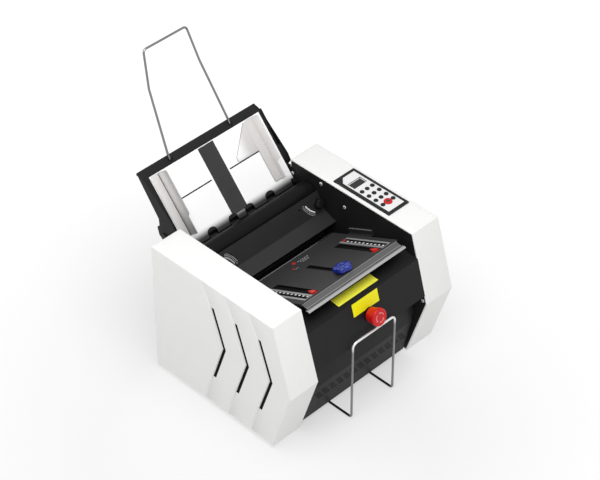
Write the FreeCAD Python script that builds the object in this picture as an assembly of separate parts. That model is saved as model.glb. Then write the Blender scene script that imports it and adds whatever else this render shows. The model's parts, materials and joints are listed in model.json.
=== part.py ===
import FreeCAD, Part
import math
import os

V = FreeCAD.Vector

# Whole machine, millimetres, floor at z = 0, rear towards +Y
machine_w = 486.0
cover_w = 76.0
frame_t = 4.0
cover_bottom_z = 11.0
cover_h = 330.0
cover_back_y = 187.0
cover_front_y = -169.5
knee_y = -218.0
knee_z = 175.0
toe_y = -167.0
running_gap = 0.3
fit_gap = 0.05
overrun = 10.0

# Side covers
cover_wall = 3.0
cover_edge_r = 2.5
cover_corner_r = 5.0
cover_frame_gap = 0.4
vent_count = 3
vent_first_in = 175.0
vent_pitch = 68.0
vent_rake = 32.5
vent_top_share = 0.82
vent_mid_share = 0.5303
vent_low_share = 0.2333
vent_w = 8.0
vent_crease_rake = 24.0
louvre_d = 2.4
louvre_run = 50.0

# Side frames and their ears
ear_top_drop = 19.0
ear_nose_reach = 65.0
ear_nose_drop = 32.0
ear_heel_reach = 59.5
ear_heel_drop = 51.0
ear_low_reach = 49.5
ear_low_drop = 58.0
ear_root_drop = 79.0
ear_top_reach = 53.0
arc_slot_w = 3.0
arc_slot_r = 12.0
arc_slot_deg = 70.0

# Base, feet and cross members
base_z = 14.0
base_t = 2.0
base_front_in = 21.0
base_back_in = 11.0
base_lip_h = 12.0
foot_r = 12.0
foot_frame_gap = 25.0
foot_inset_y = 24.0
tie_r = 5.0
tie_rear_in = 43.0
tie_rear_z = 60.0
tie_front_in = 18.0
tie_front_z = 78.0
tie_mid_behind = 12.0
tie_mid_drop = 56.0
panel_t = 1.5

# Rear panel with vents and the inlet's window
rear_panel_in = 6.0
rear_panel_drop = 50.5
rear_lip = 4.0
rear_vent_n = 7
rear_vent_w = 70.0
rear_vent_h = 4.0
rear_vent_pitch = 12.0
rear_vent_x = 70.0
rear_vent_z = 100.0

# Upper front panel and its deck
bend_reach = 17.5
bend_drop = 57.2
panel_low_in = 6.2
panel_low_drop = 145.2
deck_l = 67.0
deck_slope_deg = 5.0
recess_in = 34.3

# Lower front panel
band_top_drop = 51.5
band_low_in = 5.3
low_panel_gap = 6.0
band_vent_rows = 4
band_vent_cols = 13
band_vent_l = 15.0
band_vent_h = 3.0
band_vent_pitch_x = 21.0
band_vent_pitch_z = 8.0
band_vent_first_share = 0.75
band_tab_w = 14.0
tab_t = 3.0

# Stop button on the front panel
estop_x = 4.4
estop_drop = 100.4
estop_head_r = 20.0
estop_head_h = 27.5
estop_crown_h = 4.0
estop_skirt_r = 16.0
estop_stand = 5.5
estop_stem_r = 8.0
estop_collar_r = 15.0
estop_collar_h = 1.2
estop_nut_h = 4.0
estop_barrel_r = 11.0
estop_barrel_h = 14.0
estop_block_w = 30.0
estop_block_h = 28.0
estop_travel = 4.0

# Keypad on the right cover
bezel_frame_gap = 4.6
bezel_edge_gap = 9.1
bezel_front_in = 282.2
bezel_back_in = 120.4
bezel_left_w = 8.0
bezel_right_w = 6.0
bezel_front_w = 8.0
bezel_back_w = 6.8
bezel_h = 2.5
bezel_r = 0.8
pad_chamfer = 14.0
pad_top = 1.5
pad_t = 3.5
pad_gap = 0.5
display_left = 12.7
display_right = 11.7
display_front = 111.2
display_back = 29.7
display_t = 1.0
display_lift = 0.4
key_r = 5.0
key_rise = 1.8
key_lip = 0.5
key_lip_t = 1.0
key_travel = 1.0
key_clear = 0.25
key_cols = 3
key_rows = 4
key_col_pitch = 15.7
key_row_pitch = 20.1
key_left = 32.5
key_front = 33.0
stop_key_r = 9.3
stop_key_rise = 2.6
board_drop = 9.0
board_t = 1.6
post_r = 2.5
post_inset = 4.0
key_board_gap = 0.3

# Feed tray, in its own sloping plane
tray_deg = 49.0
tray_low_in = 51.7
tray_len = 161.0
tray_side_gap = 4.6
tray_plate_t = 2.0
tray_back_t = 2.0
tray_back_gap = 3.5
tray_back_start = 10.0
tray_back_end = 165.0
tray_wall_gap = 0.6
tray_wall_t = 3.0
tray_bridge_start = 78.0
tray_pivot_reach = 38.5
tray_pivot_drop = 41.8
tray_wall_top_back = 58.5
tray_wall_top_up = 118.3
tray_wall_front_out = 24.0
tray_wall_front_up = 46.5
tray_wall_low_out = 33.5
tray_wall_low_up = 30.8
tray_wall_rear_back = 80.3
tray_wall_rear_up = 124.3
tray_wall_waist_back = 16.5
tray_wall_waist_up = 39.1
tray_boss_r = 13.0
tray_top_front_back = 58.0
tray_top_front_up = 118.3
tray_top_t = 2.5
tray_rear_lip = 6.0
strip_half_x = 22.0
strip_t = 1.5
strip_top_gap = 1.5
tray_slot_u = 88.0
tray_slot_w = 3.0
tray_slot_x0 = 26.4
channel_w = 16.0
channel_t = 1.5
channel_depth = 5.3
channel_over = 8.0
tray_slot_edge = 16.4
pivot_pin_r = 4.0
pivot_head_r = 8.0
pivot_head_t = 3.0

# Side guides on the tray
guide_t = 1.5
guide_lift = 0.3
guide_low_u = 12.0
guide_top_u = 160.0
left_guide_h = 36.0
left_guide_low_h = 28.0
right_guide_h = 31.5
right_guide_low_h = 15.0
guide_step_u = 56.0
guide_notch = 4.0
guide_flange_w = 21.0
left_guide_edge = 22.0
right_guide_edge = 25.4
lobe_reach = 80.4
lobe_rise = 12.0
lobe_top_u = 158.0
lobe_top_reach = 25.0
guide_stud_in = 3.0
guide_stud_r = 1.2
guide_shoe_w = 14.0
guide_shoe_t = 4.0

# Wire that holds long sheets up behind the tray
support_r = 2.6
support_hole_in = 71.5
support_hole_back = 68.5
support_hole_up = 121.0
support_kink_in = 14.9
support_kink_back = 72.3
support_kink_up = 137.5
support_top_in = 12.0
support_top_back = 25.3
support_top_up = 80.3
support_bend_r = 9.0
support_tail = 48.0
support_foot_r = 12.0
socket_r = 5.0
socket_len = 34.0
socket_gap = 0.3

# Feed drum and feed roller
drum_in = 56.1
drum_drop = 50.6
drum_r = 22.0
drum_end_gap = 3.0
feed_in = 22.0
feed_drop = 66.0
tyre_r = 13.2
tyre_w = 21.0
tyre_in_x = 24.0
tyre_frame_gap = 78.0
feed_core_r = 6.0
journal_r = 4.0

# Guide plate over the fold rollers
guide_plate_top_in = 81.4
guide_plate_top_drop = 40.7
guide_plate_bend_in = 104.5
guide_plate_bend_drop = 81.4
guide_plate_low_in = 138.6
guide_plate_low_drop = 93.5
guide_hole_r = 2.2
guide_hole_in = 62.0
guide_hole_share = 0.64
skew_frame_gap = 13.0
skew_share = 0.45
skew_knob_r = 8.8
skew_knob_h = 11.0
skew_hub_r = 11.0
skew_hub_h = 2.0
skew_stem_r = 3.0
skew_nut_r = 6.0
skew_nut_h = 4.0

# Fold plate, in its own sloping plane
fold_deg = 26.1
fold_back_in = 151.8
fold_back_drop = 104.5
fold_len = 201.7
fold_side_gap = 22.0
fold_sheet_t = 1.5
fold_gap = 3.0
fold_side_w = 8.0
fold_mid_slot_x = -1.6
fold_mid_slot_w = 13.0
fold_mid_slot_back = 69.0
fold_mid_slot_end = 9.7
fold_side_slot_w = 17.0
fold_side_slot_edge = 41.2
fold_side_slot_back = 62.0
fold_side_slot_end = 7.2
bar_overhang = 2.0
bar_in = 0.93
bar_under = 1.74
bar_run = 26.5
bar_fall = 5.0
bar_h = 9.0
bar_flat_in = 3.0
bar_flat_w = 11.5
bar_flat_d = 0.8
bar_channel_in = 17.0
bar_channel_w = 3.8
bar_channel_d = 1.8
bar_lip_t = 3.0
bar_lip_w = 5.5
rail_start = 32.0
rail_len = 72.0
rail_ledge_t = 3.0
rail_leg_t = 4.0
rail_leg_h = 9.0
rail_inset = 5.0

# Paper stop and its knob
stop_end = 15.7
stop_back_gap = 5.0
stop_bar_w = 10.0
stop_bar_t = 2.0
stop_overhang = 2.0
stop_boss_w = 7.0
stop_boss_l = 14.0
stop_rise = 3.0
pointer_w = 10.0
pointer_l = 16.0
pointer_rise = 1.8
knob_r = 16.5
knob_lobe_r = 5.0
knob_lobes = 5
knob_h = 13.0
knob_stem_r = 3.0
knob_stem_h = 2.5

# Fold rollers, their gears and the belt drive
gear_module = 1.5
gear_teeth = 16
half_turn_deg = 180.0
gear_mesh_teeth = 4
gear_backlash_deg = 0.6
gear_addendum_share = 0.85
gear_dedendum_share = 1.25
gear_tip_share = 0.11
gear_root_share = 0.33
gear_frame_gap = 4.0
gear_w = 10.0
nip_in = 99.0
nip_drop = 138.0
nip_lean_deg = 11.5
roller_end_gap = 3.0
bush_r = 7.0
bush_flange_r = 9.0
bush_flange_t = 1.5
shaft_stub = 3.0
pulley_r = 12.0
pulley_rim = 2.0
pulley_w = 10.0
belt_t = 1.6
belt_w = 8.0
pulley_step = 12.0
motor_pulley_r = 8.0
motor_y = 20.0
motor_z = 75.0
motor_r = 31.0
motor_len = 96.0
motor_boss_r = 12.0
motor_boss_t = 5.0
motor_hole_gap = 0.5
delivery_y = -60.0
delivery_r = 12.0
delivery_rise = 1.0
delivery_slot_gap = 3.0

# Paper chute behind and under the rollers
chute_mouth_in = 35.0
chute_mouth_drop = 84.0
chute_wall_in = 69.0
chute_wall_drop = 135.0
chute_back_in = 75.0
chute_back_drop = 160.0
chute_turn_in = 103.0
chute_turn_drop = 175.0
chute_front_drop = 177.5

# Catch wire on the floor in front
catch_r = 2.6
catch_lift = 0.4
catch_x = 62.7
catch_front = 6.0
catch_top_up = 14.0
catch_bend_r = 12.0
catch_foot_bend_r = 8.0
catch_tail_y = 122.0
saddle_w = 12.0
saddle_l = 14.0
saddle_lift = 1.0
saddle_front_y = -120.0
saddle_back_y = 30.0

# Screw heads that show on the side frames
screw_head_r = 4.2
screw_head_t = 2.4
screw_shank_r = 2.0
screw_rear_in = 92.4
screw_rear_drop = 16.5
screw_mid_in = 162.8
screw_mid_drop = 40.7
screw_knee_in = 12.0
screw_knee_up = 4.3
screw_lock_in = 6.6
screw_lock_drop = 35.2

# Mains inlet with its rocker, in the rear panel
inlet_frame_gap = 58.0
inlet_z = 52.0
inlet_w = 50.0
inlet_h = 30.0
inlet_flange = 4.0
inlet_flange_t = 2.0
inlet_depth = 28.0
inlet_well_w = 26.0
inlet_well_h = 20.0
inlet_well_d = 16.0
inlet_pin_r = 1.6
inlet_pin_l = 12.0
inlet_pin_x = 7.0
inlet_pin_z = 3.0
rocker_w = 10.0
rocker_h = 20.0
rocker_d = 7.0
rocker_gap = 0.3
rocker_rest_deg = 9.0
rocker_rise = 1.6
rocker_well_d = 12.0

# Worked out from the sizes above
cover_top_z = cover_bottom_z + cover_h
cover_out_x = machine_w / 2
frame_out_x = cover_out_x - cover_w
frame_in_x = frame_out_x - frame_t
foot_x = frame_in_x - foot_frame_gap
inlet_x = frame_in_x - inlet_frame_gap
tyre_out_x = frame_in_x - tyre_frame_gap
guide_hole_x = frame_in_x - guide_hole_in
gear_x = frame_out_x + gear_frame_gap
skew_x = frame_in_x - skew_frame_gap
low_panel_x = frame_in_x - low_panel_gap
pitch_r = gear_module * gear_teeth / 2
centre_gap = 2 * pitch_r
roller_r = pitch_r - running_gap / 2
catch_z = catch_r + catch_lift

# Vents, ears and cross members from the covers' outline
vent_first_y = cover_back_y - vent_first_in
vent_top_z = cover_bottom_z + vent_top_share * cover_h
vent_mid_z = cover_bottom_z + vent_mid_share * cover_h
vent_low_z = cover_bottom_z + vent_low_share * cover_h
ear_top_y = cover_back_y + ear_top_reach
ear_top_z = cover_top_z - ear_top_drop
ear_nose_y = cover_back_y + ear_nose_reach
ear_nose_z = cover_top_z - ear_nose_drop
ear_heel_y = cover_back_y + ear_heel_reach
ear_heel_z = cover_top_z - ear_heel_drop
ear_low_y = cover_back_y + ear_low_reach
ear_low_z = cover_top_z - ear_low_drop
ear_root_z = cover_top_z - ear_root_drop
base_front_y = toe_y + base_front_in
base_back_y = cover_back_y - base_back_in
rear_panel_y = cover_back_y - rear_panel_in
rear_panel_top_z = cover_top_z - rear_panel_drop
tie_rear_y = rear_panel_y - tie_rear_in
tie_front_y = base_front_y + tie_front_in
screw_top_rear_y = cover_back_y - screw_rear_in
screw_top_rear_z = cover_top_z - screw_rear_drop
screw_top_mid_y = cover_back_y - screw_mid_in
screw_top_mid_z = cover_top_z - screw_mid_drop
screw_lock_y = cover_back_y - screw_lock_in
screw_lock_z = cover_top_z - screw_lock_drop
screw_knee_y = knee_y + screw_knee_in
screw_knee_z = knee_z + screw_knee_up

# Keypad from the right cover's top
bezel_x0 = frame_out_x + bezel_frame_gap
bezel_x1 = cover_out_x - bezel_edge_gap
bezel_y0 = cover_back_y - bezel_front_in
bezel_y1 = cover_back_y - bezel_back_in
display_x0 = bezel_x0 + display_left
display_x1 = bezel_x1 - display_right
display_y0 = bezel_y0 + display_front
display_y1 = bezel_y1 - display_back
key_mid_x = bezel_x0 + key_left
key_front_y = bezel_y0 + key_front

# Tray and its wire from the tray's pivot
tray_pivot_y = cover_back_y + tray_pivot_reach
tray_pivot_z = cover_top_z - tray_pivot_drop
tray_low_y = tray_pivot_y - tray_low_in
tray_low_z = tray_pivot_z
tray_half_x = frame_in_x - tray_side_gap
tray_back_x = frame_in_x - tray_back_gap
tray_slot_x1 = tray_half_x - tray_slot_edge
left_guide_x = left_guide_edge - tray_half_x
right_guide_x = tray_half_x - right_guide_edge
lobe_in_x = right_guide_x - lobe_reach
lobe_top_x = right_guide_x - lobe_top_reach
tray_wall_top_y = tray_pivot_y + tray_wall_top_back
tray_wall_top_z = tray_pivot_z + tray_wall_top_up
tray_wall_front_y = tray_pivot_y - tray_wall_front_out
tray_wall_front_z = tray_pivot_z + tray_wall_front_up
tray_wall_low_y = tray_pivot_y - tray_wall_low_out
tray_wall_low_z = tray_pivot_z + tray_wall_low_up
tray_wall_rear_y = tray_pivot_y + tray_wall_rear_back
tray_wall_rear_z = tray_pivot_z + tray_wall_rear_up
tray_wall_waist_y = tray_pivot_y + tray_wall_waist_back
tray_wall_waist_z = tray_pivot_z + tray_wall_waist_up
tray_top_front_y = tray_pivot_y + tray_top_front_back
tray_top_front_z = tray_pivot_z + tray_top_front_up
support_hole_x = tray_half_x - support_hole_in
support_kink_x = support_hole_x - support_kink_in
support_top_x = support_kink_x - support_top_in
support_hole_y = tray_pivot_y + support_hole_back
support_hole_z = tray_pivot_z + support_hole_up
support_kink_y = support_hole_y + support_kink_back
support_kink_z = support_hole_z + support_kink_up
support_top_y = support_kink_y + support_top_back
support_top_z = support_kink_z + support_top_up

# Paper path from the covers' rear top corner
drum_y = cover_back_y - drum_in
drum_z = cover_top_z - drum_drop
feed_y = cover_back_y - feed_in
feed_z = cover_top_z - feed_drop
guide_plate_top_y = cover_back_y - guide_plate_top_in
guide_plate_top_z = cover_top_z - guide_plate_top_drop
guide_plate_bend_y = cover_back_y - guide_plate_bend_in
guide_plate_bend_z = cover_top_z - guide_plate_bend_drop
guide_plate_low_y = cover_back_y - guide_plate_low_in
guide_plate_low_z = cover_top_z - guide_plate_low_drop
nip_y = cover_back_y - nip_in
nip_z = cover_top_z - nip_drop
chute_mouth_y = cover_back_y - chute_mouth_in
chute_mouth_z = cover_top_z - chute_mouth_drop
chute_wall_y = cover_back_y - chute_wall_in
chute_wall_z = cover_top_z - chute_wall_drop
chute_back_y = cover_back_y - chute_back_in
chute_back_z = cover_top_z - chute_back_drop
chute_turn_y = cover_back_y - chute_turn_in
chute_turn_z = cover_top_z - chute_turn_drop
chute_front_z = cover_top_z - chute_front_drop
tie_mid_y = chute_wall_y + tie_mid_behind
tie_mid_z = chute_wall_z - tie_mid_drop

# Fold plate, its bar, slots and stop
fold_half_x = frame_in_x - fold_side_gap
fold_back_y = cover_back_y - fold_back_in
fold_back_z = cover_top_z - fold_back_drop
fold_mid_slot_front = fold_len - fold_mid_slot_end
fold_side_slot_front = fold_len - fold_side_slot_end
fold_side_slot_x1 = fold_half_x - fold_side_slot_edge
fold_side_slot_x0 = fold_side_slot_x1 - fold_side_slot_w
bar_half_x = fold_half_x + bar_overhang
bar_top_y = fold_back_y - fold_len * math.cos(math.radians(fold_deg)) + bar_in
bar_top_z = fold_back_z + fold_len * math.sin(math.radians(fold_deg)) - bar_under
bar_lip_y = bar_top_y - bar_run
bar_lip_z = bar_top_z - bar_fall
stop_half_x = fold_side_slot_x1 + stop_overhang
stop_s = fold_len - stop_end
stop_travel = stop_s - fold_mid_slot_back - stop_boss_l / 2 - stop_back_gap

# Front panels, the button's height and the catch wire's place
bend_y = cover_front_y - bend_reach
bend_z = cover_top_z - bend_drop
panel_low_y = knee_y + panel_low_in
panel_low_z = cover_top_z - panel_low_drop
deck_back_y = bend_y + deck_l
recess_y = knee_y + recess_in
band_top_z = chute_front_z - band_top_drop
band_low_y = toe_y + band_low_in
band_low_z = base_z + base_t
estop_z = cover_top_z - estop_drop
catch_y = panel_low_y - catch_front
catch_top_z = panel_low_z + catch_top_up

# The button's place on the panel and the middle of the whole machine
panel_rise = bend_z - panel_low_z
panel_deg = math.degrees(math.atan2(panel_rise, bend_y - panel_low_y))
panel_lean = math.radians(panel_deg)
estop_y = bend_y + (bend_z - estop_z) / panel_rise * (panel_low_y - bend_y)
estop_reach = (estop_stand + estop_head_h) * math.sin(panel_lean)
estop_reach += (estop_head_r - estop_crown_h) * math.cos(panel_lean)
front_reach = min(catch_y - catch_r, estop_y - estop_reach)
rear_reach = support_top_y + support_r
origin_y = (front_reach + rear_reach) / 2


def export(node, shape):
    shape = shape.copy()
    shape.translate(V(0, -origin_y, 0))
    shape.exportStep("parts/" + node + ".step")


def group(shapes):
    return Part.makeCompound(shapes)


def box(x0, x1, y0, y1, z0, z1):
    lows = V(min(x0, x1), min(y0, y1), min(z0, z1))
    return Part.makeBox(abs(x1 - x0), abs(y1 - y0), abs(z1 - z0), lows)


def prism_x(points, x0, x1):
    corners = [V(min(x0, x1), y, z) for y, z in points]
    face = Part.Face(Part.makePolygon(corners + corners[:1]))
    return face.extrude(V(abs(x1 - x0), 0, 0))


def cyl_x(radius, x0, x1, y, z):
    return Part.makeCylinder(radius, abs(x1 - x0), V(min(x0, x1), y, z), V(1, 0, 0))


def cyl_z(radius, x, y, z0, z1):
    return Part.makeCylinder(radius, abs(z1 - z0), V(x, y, min(z0, z1)), V(0, 0, 1))


def cyl_y(radius, x, z, y0, y1):
    return Part.makeCylinder(radius, abs(y1 - y0), V(x, min(y0, y1), z), V(0, 1, 0))


def tilt(shape, degrees, y, z):
    placed = shape.copy()
    placed.rotate(V(0, 0, 0), V(1, 0, 0), degrees)
    placed.translate(V(0, y, z))
    return placed


def on_tray(shape):
    return tilt(shape, tray_deg, tray_low_y, tray_low_z)


def on_fold(shape):
    return tilt(shape, -fold_deg, fold_back_y, fold_back_z)


def line_meet(p, u, q, w):
    cross = u[0] * w[1] - u[1] * w[0]
    along = ((q[0] - p[0]) * w[1] - (q[1] - p[1]) * w[0]) / cross
    return (p[0] + along * u[0], p[1] + along * u[1])


def shifted(a, b, offset):
    length = math.hypot(b[0] - a[0], b[1] - a[1])
    unit = ((b[0] - a[0]) / length, (b[1] - a[1]) / length)
    return (a[0] - offset * unit[1], a[1] + offset * unit[0]), unit


def inset(points, offset):
    """Every side of a closed outline moved inwards, for points that run counterclockwise."""
    sides = [shifted(a, b, offset) for a, b in zip(points, points[1:] + points[:1])]
    return [line_meet(*before, *after) for before, after in zip(sides[-1:] + sides[:-1], sides)]


def sheet_outline(points, thickness):
    """A folded sheet's section: the line of points and its parallel on the left."""
    sides = [shifted(a, b, thickness) for a, b in zip(points, points[1:])]
    inner = [sides[0][0]]
    inner += [line_meet(*before, *after) for before, after in zip(sides, sides[1:])]
    last, unit = sides[-1]
    length = math.hypot(points[-1][0] - points[-2][0], points[-1][1] - points[-2][1])
    inner.append((last[0] + length * unit[0], last[1] + length * unit[1]))
    return points + inner[::-1]


def wire_tube(points, bends, radius):
    """A round wire of straight runs joined by arcs; bends holds one radius for each inner point."""
    edges = []
    start = points[0]
    for i, bend in enumerate(bends):
        before, corner, after = points[i], points[i + 1], points[i + 2]
        into = (corner - before).normalize()
        out = (after - corner).normalize()
        half_turn = into.getAngle(out) / 2
        back = bend * math.tan(half_turn)
        first = corner - into * back
        last = corner + out * back
        inward = (out - into).normalize()
        middle = corner + inward * (bend / math.cos(half_turn) - bend)
        edges.append(Part.LineSegment(start, first).toShape())
        edges.append(Part.Arc(first, middle, last).toShape())
        start = last
    edges.append(Part.LineSegment(start, points[-1]).toShape())
    path = Part.Wire(edges)
    ring = Part.Wire(Part.makeCircle(radius, points[0], points[1] - points[0]))
    return path.makePipeShell([ring], True, False)


def facets(corner_lists):
    faces = [Part.Face(Part.makePolygon(corners + corners[:1])) for corners in corner_lists]
    solid = Part.Solid(Part.Shell(faces))
    if solid.Volume < 0:
        solid.reverse()
    return solid


def mirrored(shape):
    return shape.mirror(V(0, 0, 0), V(1, 0, 0))


def fuse(shapes):
    return shapes[0].fuse(shapes[1:]).removeSplitter()


def round_edges(shape, radius, chosen):
    edges = [edge for edge in shape.Edges if chosen(edge)]
    return shape.makeFillet(radius, edges)


def edges_at_x(x):
    def chosen(edge):
        return all(math.isclose(v.Point.x, x, abs_tol=fit_gap) for v in edge.Vertexes)
    return chosen


def edges_at_z(z):
    def chosen(edge):
        return all(math.isclose(v.Point.z, z, abs_tol=fit_gap) for v in edge.Vertexes)
    return chosen


def side_outline():
    """The covers' side view, counterclockwise from the toe."""
    return [(toe_y, cover_bottom_z), (cover_back_y, cover_bottom_z), (cover_back_y, cover_top_z),
            (cover_front_y, cover_top_z), (knee_y, knee_z)]


def crease_line(first_y):
    """One vent's bent line from the cover's top edge to its bottom edge."""
    return [(first_y + vent_crease_rake, cover_top_z), (first_y, vent_top_z),
            (first_y - vent_rake, vent_mid_z), (first_y, vent_low_z),
            (first_y + vent_crease_rake, cover_bottom_z)]


def louvre(first_y, face_x):
    """The dip forward of one vent: deep at the vent, back to the face at its run's end."""
    deep = face_x - louvre_d
    above = face_x + overrun
    line = crease_line(first_y)
    solids = []
    for (y0, z0), (y1, z1) in zip(line[1:], line[2:4]):
        high = [V(above, y0, z0), V(deep, y0, z0), V(face_x, y0 - louvre_run, z0),
                V(above, y0 - louvre_run, z0)]
        low = [V(above, y1, z1), V(deep, y1, z1), V(face_x, y1 - louvre_run, z1),
               V(above, y1 - louvre_run, z1)]
        sides = [[high[i - 1], high[i], low[i], low[i - 1]] for i in range(len(high))]
        solids.append(facets(sides + [high[::-1], low]))
    for (y0, z0), (y1, z1) in ((line[1], line[0]), (line[3], line[4])):
        near = [V(face_x, y0, z0), V(deep, y0, z0), V(face_x, y0 - louvre_run, z0)]
        tip = V(face_x, y1, z1)
        wedge = [near, [near[0], near[1], tip], [near[1], near[2], tip], [near[2], near[0], tip]]
        solids.append(facets(wedge))
    return solids


def vent_slot(first_y):
    line = crease_line(first_y)[1:4]
    back = [(y - vent_w, z) for y, z in line]
    return prism_x(line + back[::-1], cover_out_x - overrun, cover_out_x + overrun)


def plain_cover():
    inner_x = frame_in_x
    shell = prism_x(side_outline(), inner_x, cover_out_x)
    shell = round_edges(shell, cover_corner_r, lambda e: all(
        math.isclose(v.Point.y, cover_back_y) for v in e.Vertexes) and e.BoundBox.XLength > cover_wall)
    shell = round_edges(shell, cover_edge_r, edges_at_x(cover_out_x))
    hollow = prism_x(inset(side_outline(), cover_wall), inner_x - overrun, cover_out_x - cover_wall)
    first_ys = [vent_first_y - i * vent_pitch for i in range(vent_count)]
    for first_y in first_ys:
        shell = shell.cut(louvre(first_y, cover_out_x))
        hollow = hollow.cut(louvre(first_y, cover_out_x - cover_wall))
    shell = shell.cut(hollow)
    shell = shell.cut([vent_slot(first_y) for first_y in first_ys])
    ear_way = box(inner_x - overrun, frame_out_x + cover_frame_gap, cover_back_y - overrun,
                  cover_back_y + overrun, ear_root_z - cover_frame_gap, ear_top_z + cover_frame_gap)
    return shell.cut(ear_way)


def pad_outline(grow, chamfer):
    x0, x1 = bezel_x0 + bezel_left_w - grow, bezel_x1 - bezel_right_w + grow
    y0, y1 = bezel_y0 + bezel_front_w - grow, bezel_y1 - bezel_back_w + grow
    return [(x0, y0), (x1, y0), (x1, y1), (x0 + chamfer, y1), (x0, y1 - chamfer)]


def slab(outline, z0, z1):
    corners = [V(x, y, z0) for x, y in outline]
    return Part.Face(Part.makePolygon(corners + corners[:1])).extrude(V(0, 0, z1 - z0))


def covers():
    left = mirrored(plain_cover())
    right = plain_cover()
    window = slab(pad_outline(pad_gap, pad_chamfer), cover_top_z - overrun, cover_top_z + overrun)
    export("left_cover", left)
    export("right_cover", right.cut(window))


def shaft_places():
    return [upper_roller, main_roller, lower_roller, (feed_y, feed_z), (drum_y, drum_z), delivery]


def polar(centre, radius, degrees):
    turn = math.radians(degrees)
    return (centre[0] + radius * math.cos(turn), centre[1] + radius * math.sin(turn))


# Roller centres: the first nip's line of centres leans, the next roller is a whole number of teeth on
upper_dir = 90 + nip_lean_deg
lower_dir = upper_dir + 360 * gear_mesh_teeth / gear_teeth
upper_roller = polar((nip_y, nip_z), pitch_r, upper_dir)
main_roller = polar((nip_y, nip_z), -pitch_r, upper_dir)
lower_roller = polar(main_roller, centre_gap, lower_dir)


def chute_floor_z(y):
    share = (chute_turn_y - y) / (chute_turn_y - recess_y)
    return chute_turn_z + share * (chute_front_z - chute_turn_z)


delivery = (delivery_y, chute_floor_z(delivery_y) + delivery_rise - delivery_r)
screw_places = [(screw_top_rear_y, screw_top_rear_z), (screw_top_mid_y, screw_top_mid_z),
                (screw_knee_y, screw_knee_z), (screw_lock_y, screw_lock_z)]
tie_places = [(tie_rear_y, tie_rear_z), (tie_front_y, tie_front_z), (tie_mid_y, tie_mid_z)]


def arc_slot(y, z):
    half = arc_slot_w / 2
    ring = cyl_x(arc_slot_r + half, frame_in_x - overrun, frame_out_x + overrun, y, z)
    ring = ring.cut(cyl_x(arc_slot_r - half, frame_in_x - overrun, frame_out_x + overrun, y, z))
    far = 2 * arc_slot_r
    end = (y - far * math.sin(math.radians(arc_slot_deg)), z + far * math.cos(math.radians(arc_slot_deg)))
    wedge = prism_x([(y, z), (y, z + far), end], frame_in_x - overrun, frame_out_x + overrun)
    return ring.common(wedge)


def plain_frame():
    plate = prism_x(inset(side_outline(), cover_wall + cover_frame_gap), frame_in_x, frame_out_x)
    root_y = cover_back_y - overrun
    ear = prism_x([(root_y, ear_root_z), (ear_low_y, ear_low_z), (ear_heel_y, ear_heel_z),
                   (ear_nose_y, ear_nose_z), (ear_top_y, ear_top_z), (root_y, ear_top_z)],
                  frame_in_x, frame_out_x)
    plate = fuse([plate, ear])
    through = (frame_in_x - overrun, frame_out_x + overrun)
    holes = [cyl_x(bush_r, *through, y, z) for y, z in shaft_places()]
    holes += [cyl_x(screw_shank_r, *through, y, z) for y, z in screw_places]
    holes.append(cyl_x(pivot_pin_r, *through, tray_pivot_y, tray_pivot_z))
    holes.append(arc_slot(screw_lock_y, screw_lock_z))
    return plate.cut(holes)


def frames():
    right = plain_frame()
    motor_hole = cyl_x(motor_boss_r + motor_hole_gap, frame_in_x - overrun, frame_out_x + overrun,
                       motor_y, motor_z)
    export("right_side_frame", right)
    export("left_side_frame", mirrored(right.cut(motor_hole)))
    heads = []
    for y, z in screw_places:
        head = cyl_x(screw_head_r, frame_in_x - screw_head_t, frame_in_x, y, z)
        head = round_edges(head, screw_head_t / 3, edges_at_x(frame_in_x - screw_head_t))
        shank = cyl_x(screw_shank_r, frame_in_x - screw_head_t / 2, frame_out_x + screw_head_t, y, z)
        heads.append(fuse([head, shank]))
    export("frame_screws", group(heads + [mirrored(head) for head in heads]))


def saddle(x, y):
    block = box(x - saddle_w / 2, x + saddle_w / 2, y - saddle_l / 2, y + saddle_l / 2,
                saddle_lift, base_z + base_t / 2)
    bore_r = catch_r + running_gap
    bore = cyl_y(bore_r, x, catch_z, y - saddle_l, y + saddle_l)
    mouth = box(x - bore_r, x + bore_r, y - saddle_l, y + saddle_l, 0, catch_z)
    return block.cut([bore, mouth])


def base():
    half = frame_in_x
    top_z = base_z + base_t
    plate = box(-half, half, base_front_y, base_back_y, base_z, top_z)
    lips = [box(-half, half, y, y + base_t, base_z, top_z + base_lip_h)
            for y in (base_front_y, base_back_y - base_t)]
    saddles = [saddle(x, y) for x in (-catch_x, catch_x) for y in (saddle_front_y, saddle_back_y)]
    export("base_plate", fuse([plate] + lips + saddles))
    feet = []
    for x in (-foot_x, foot_x):
        for y in (base_front_y + foot_inset_y, base_back_y - foot_inset_y):
            foot = cyl_z(foot_r, x, y, 0, base_z)
            feet.append(round_edges(foot, base_t / 2, edges_at_z(0)))
    export("rubber_feet", group(feet))
    export("tie_bars", group([cyl_x(tie_r, -half, half, y, z) for y, z in tie_places]))


def inlet_box(grow):
    return box(inlet_x - inlet_w / 2 - grow, inlet_x + inlet_w / 2 + grow, rear_panel_y - overrun,
               rear_panel_y + overrun, inlet_z - inlet_h / 2 - grow, inlet_z + inlet_h / 2 + grow)


def rear_panel():
    half = frame_in_x
    wall = box(-half, half, rear_panel_y, rear_panel_y + panel_t, base_z, rear_panel_top_z)
    lip = box(-half, half, rear_panel_y - rear_lip, rear_panel_y, rear_panel_top_z - panel_t,
              rear_panel_top_z)
    slots = []
    for i in range(rear_vent_n):
        z = rear_vent_z + i * rear_vent_pitch
        for x in (-rear_vent_x, rear_vent_x):
            slots.append(box(x - rear_vent_w / 2, x + rear_vent_w / 2, rear_panel_y - panel_t,
                             rear_panel_y + 2 * panel_t, z, z + rear_vent_h))
    export("rear_panel", fuse([wall, lip]).cut(slots + [inlet_box(0)]))


def on_panel(shape):
    return tilt(shape, panel_deg, estop_y, estop_z)


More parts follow.
